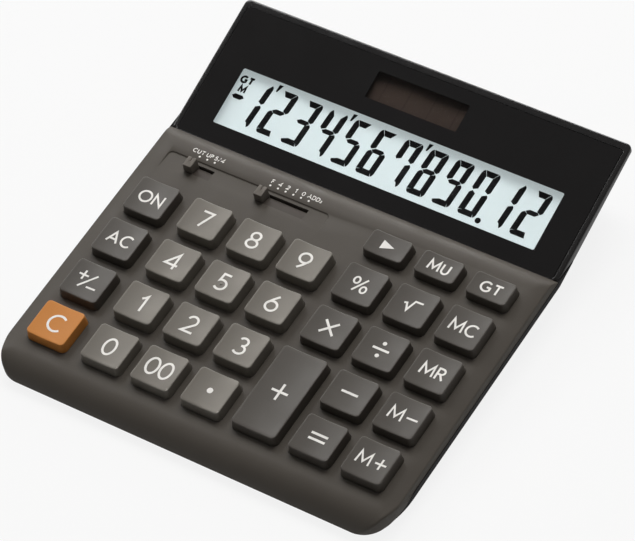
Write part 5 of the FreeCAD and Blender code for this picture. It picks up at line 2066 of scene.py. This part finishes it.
@dataclass(frozen=True)
class Lamp:
    """Soft square lamp that looks at the middle of the body.

    Attributes:
        name: Name of the lamp.
        place: Where it hangs, in metres.
        size: Length of its side, in metres.
        power: Its power, in watts.
        mirrored: Whether gloss shows it.
    """

    name: str
    place: Point3
    size: float
    power: float
    mirrored: bool = True

    def build(self) -> None:
        """Hang the lamp."""
        data = bpy.data.lights.new(self.name, "AREA")
        data.shape = "SQUARE"
        data.size = self.size
        data.energy = self.power
        obj = bpy.data.objects.new(self.name, data)
        obj.location = self.place
        sight = Vector((0.0, 0.0, 0.01)) - Vector(self.place)
        obj.rotation_euler = sight.to_track_quat("-Z", "Y").to_euler()
        obj.visible_glossy = self.mirrored
        bpy.context.scene.collection.objects.link(obj)


@dataclass
class Studio:
    """Pale floor, soft lamps, plain surround and the camera.

    Attributes:
        eye: Place of the camera on the deck, in millimetres.
        lens: Focal length on a sensor 36 mm wide.
        right, down, ahead: The camera's axes on the deck.
        fill: Strength of the even light.
        ceiling: Strength of the backdrop high up.
        backdrop: Heights between which the backdrop fades.
        floor_reach: Half of the floor's width, in millimetres.
        lamps: The soft lamps.
    """

    eye: Point3 = (518.75, -482.1, 956.7)
    lens: float = 3783 / 635 * 36
    right: Point3 = (0.83663614, 0.52697305, -0.14946358)
    down: Point3 = (0.34751228, -0.7215608, -0.59881986)
    ahead: Point3 = (-0.42340899, 0.4490539, -0.78681346)
    fill: float = 0.15
    ceiling: float = 0.05
    backdrop: tuple[float, float] = (0.2, 0.5)
    floor_reach: float = 3000.0
    lamps: tuple[Lamp, ...] = (
        Lamp("rear_lamp", (-0.1, 1.0, 1.7), 1.1, 29.0, mirrored=False),
        Lamp("left_lamp", (-1.14, 0.8, 1.29), 0.7, 9.0),
        Lamp("low_rear_lamp", (-0.8, 1.55, 0.6), 0.6, 8.0),
        Lamp("rim_lamp", (-1.6, 0.0, 1.0), 0.4, 4.0),
    )

    def camera(self) -> None:
        """Place the camera as the photograph was taken."""
        data = bpy.data.cameras.new("camera")
        data.lens = self.lens
        data.sensor_width = 36.0
        data.sensor_fit = "HORIZONTAL"
        data.clip_start, data.clip_end = 0.05, 20.0
        obj = bpy.data.objects.new("camera", data)
        tilt = Matrix.Rotation(math.radians(STANCE.slope), 3, "X")
        axes = [tilt @ Vector(self.right), tilt @ -Vector(self.down), tilt @ -Vector(self.ahead)]
        turn = Matrix(axes).transposed().to_4x4()
        obj.matrix_world = Matrix.Translation(STANCE.deck(self.eye)) @ turn
        bpy.context.scene.collection.objects.link(obj)
        bpy.context.scene.camera = obj

    def floor(self) -> None:
        """Wide pale floor that keeps the body's shadow."""
        draft = Draft()
        far = self.floor_reach
        draft.face(draft.ring([(-far, -far, 0.0), (far, -far, 0.0), (far, far, 0.0), (-far, far, 0.0)]))
        obj = draft.piece("floor", STANCE.desk, (FloorPaint("floor_pale", (205, 205, 204), 0.9),))

    def surround(self) -> None:
        """Dim even light from all round, with a white backdrop that eyes, gloss and glass see low down."""
        world = bpy.data.worlds.new("surround")
        world.use_nodes = True
        bpy.context.scene.world = world
        nodes = Nodes(world.node_tree)
        soft = world.node_tree.nodes["Background"]
        soft.inputs["Color"].default_value = (1.0, 1.0, 1.0, 1.0)
        soft.inputs["Strength"].default_value = self.fill
        white = nodes.add("ShaderNodeBackground")
        split = nodes.add("ShaderNodeSeparateXYZ")
        nodes.link(nodes.add("ShaderNodeTexCoord").outputs["Generated"], split.inputs[0])
        low = nodes.spread(split.outputs["Z"], self.backdrop[0], self.backdrop[1], 1.0, 0.0)
        mix = nodes.add("ShaderNodeMixShader")
        nodes.link(nodes.spread(low, 0.0, 1.0, self.ceiling, 1.0), white.inputs["Strength"])
        nodes.link(seen_directly(nodes), mix.inputs["Fac"])
        nodes.link(soft.outputs["Background"], mix.inputs[1])
        nodes.link(white.outputs["Background"], mix.inputs[2])
        nodes.link(mix.outputs["Shader"], world.node_tree.nodes["World Output"].inputs["Surface"])

    def build(self) -> None:
        """Set the whole scene around the body."""
        bpy.context.scene.view_settings.view_transform = "Standard"
        self.camera()
        self.floor()
        self.surround()
        for lamp in self.lamps:
            lamp.build()


@dataclass(frozen=True)
class FloorPaint(Finish):
    """Pale matt floor that reads as white to the camera and keeps shadows.

    Attributes:
        white: Share of plain white that the camera sees.
    """

    white: float = 0.86

    def dress(self, nodes: Nodes, shader: bpy.types.Node) -> None:
        """Pale paint, mixed with plain white for the camera and for gloss and glass.

        Args:
            nodes: The material's nodes.
            shader: Its main shader.
        """
        tone = self.effect(nodes, Effect.DRIFT, Color=linear(self.colour), Amount=0.01, Scale=3.0)
        nodes.link(tone.outputs["Color"], shader.inputs["Base Color"])
        shader.inputs["Roughness"].default_value = self.roughness
        white = nodes.add("ShaderNodeEmission")
        mix = nodes.add("ShaderNodeMixShader")
        nodes.link(nodes.math("MULTIPLY", seen_directly(nodes), self.white), mix.inputs["Fac"])
        nodes.link(shader.outputs["BSDF"], mix.inputs[1])
        nodes.link(white.outputs["Emission"], mix.inputs[2])
        nodes.link(mix.outputs["Shader"], nodes.tree.nodes["Material Output"].inputs["Surface"])


# Carried-over solids


def dress_solids(record: dict) -> int:
    """Give every CAD solid the finish of its material slot.

    Args:
        record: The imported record.

    Returns:
        How many solids were dressed.
    """
    slots = {entry["node"]: entry["material_slot"] for entry in record["subparts"]}
    for name, obj in frame["nodes"].items():
        finish = SLOT_FINISHES[slots[name]]
        if not obj.material_slots:
            obj.data.materials.append(None)
        for slot in obj.material_slots:
            slot.material = finish.material()
    return len(frame["nodes"])


def main() -> None:
    """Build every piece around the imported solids."""
    logging.basicConfig(level=logging.INFO, format="%(message)s")
    LOG.info("dressed %d solids", dress_solids(frame["record"]))
    deck = Deck()
    made = [deck.build(), SelectorPrint().build(deck), *Keyboard().build()]
    made += [*Window().build(), Digits().build()]
    made += [knob.build(deck) for knob in KNOBS]
    made.append(Underside().feet())
    for piece in made:
        LOG.info("made %s with %d faces", piece.name, len(piece.data.polygons))
    Studio().build()


if __name__ == "__main__":
    main()
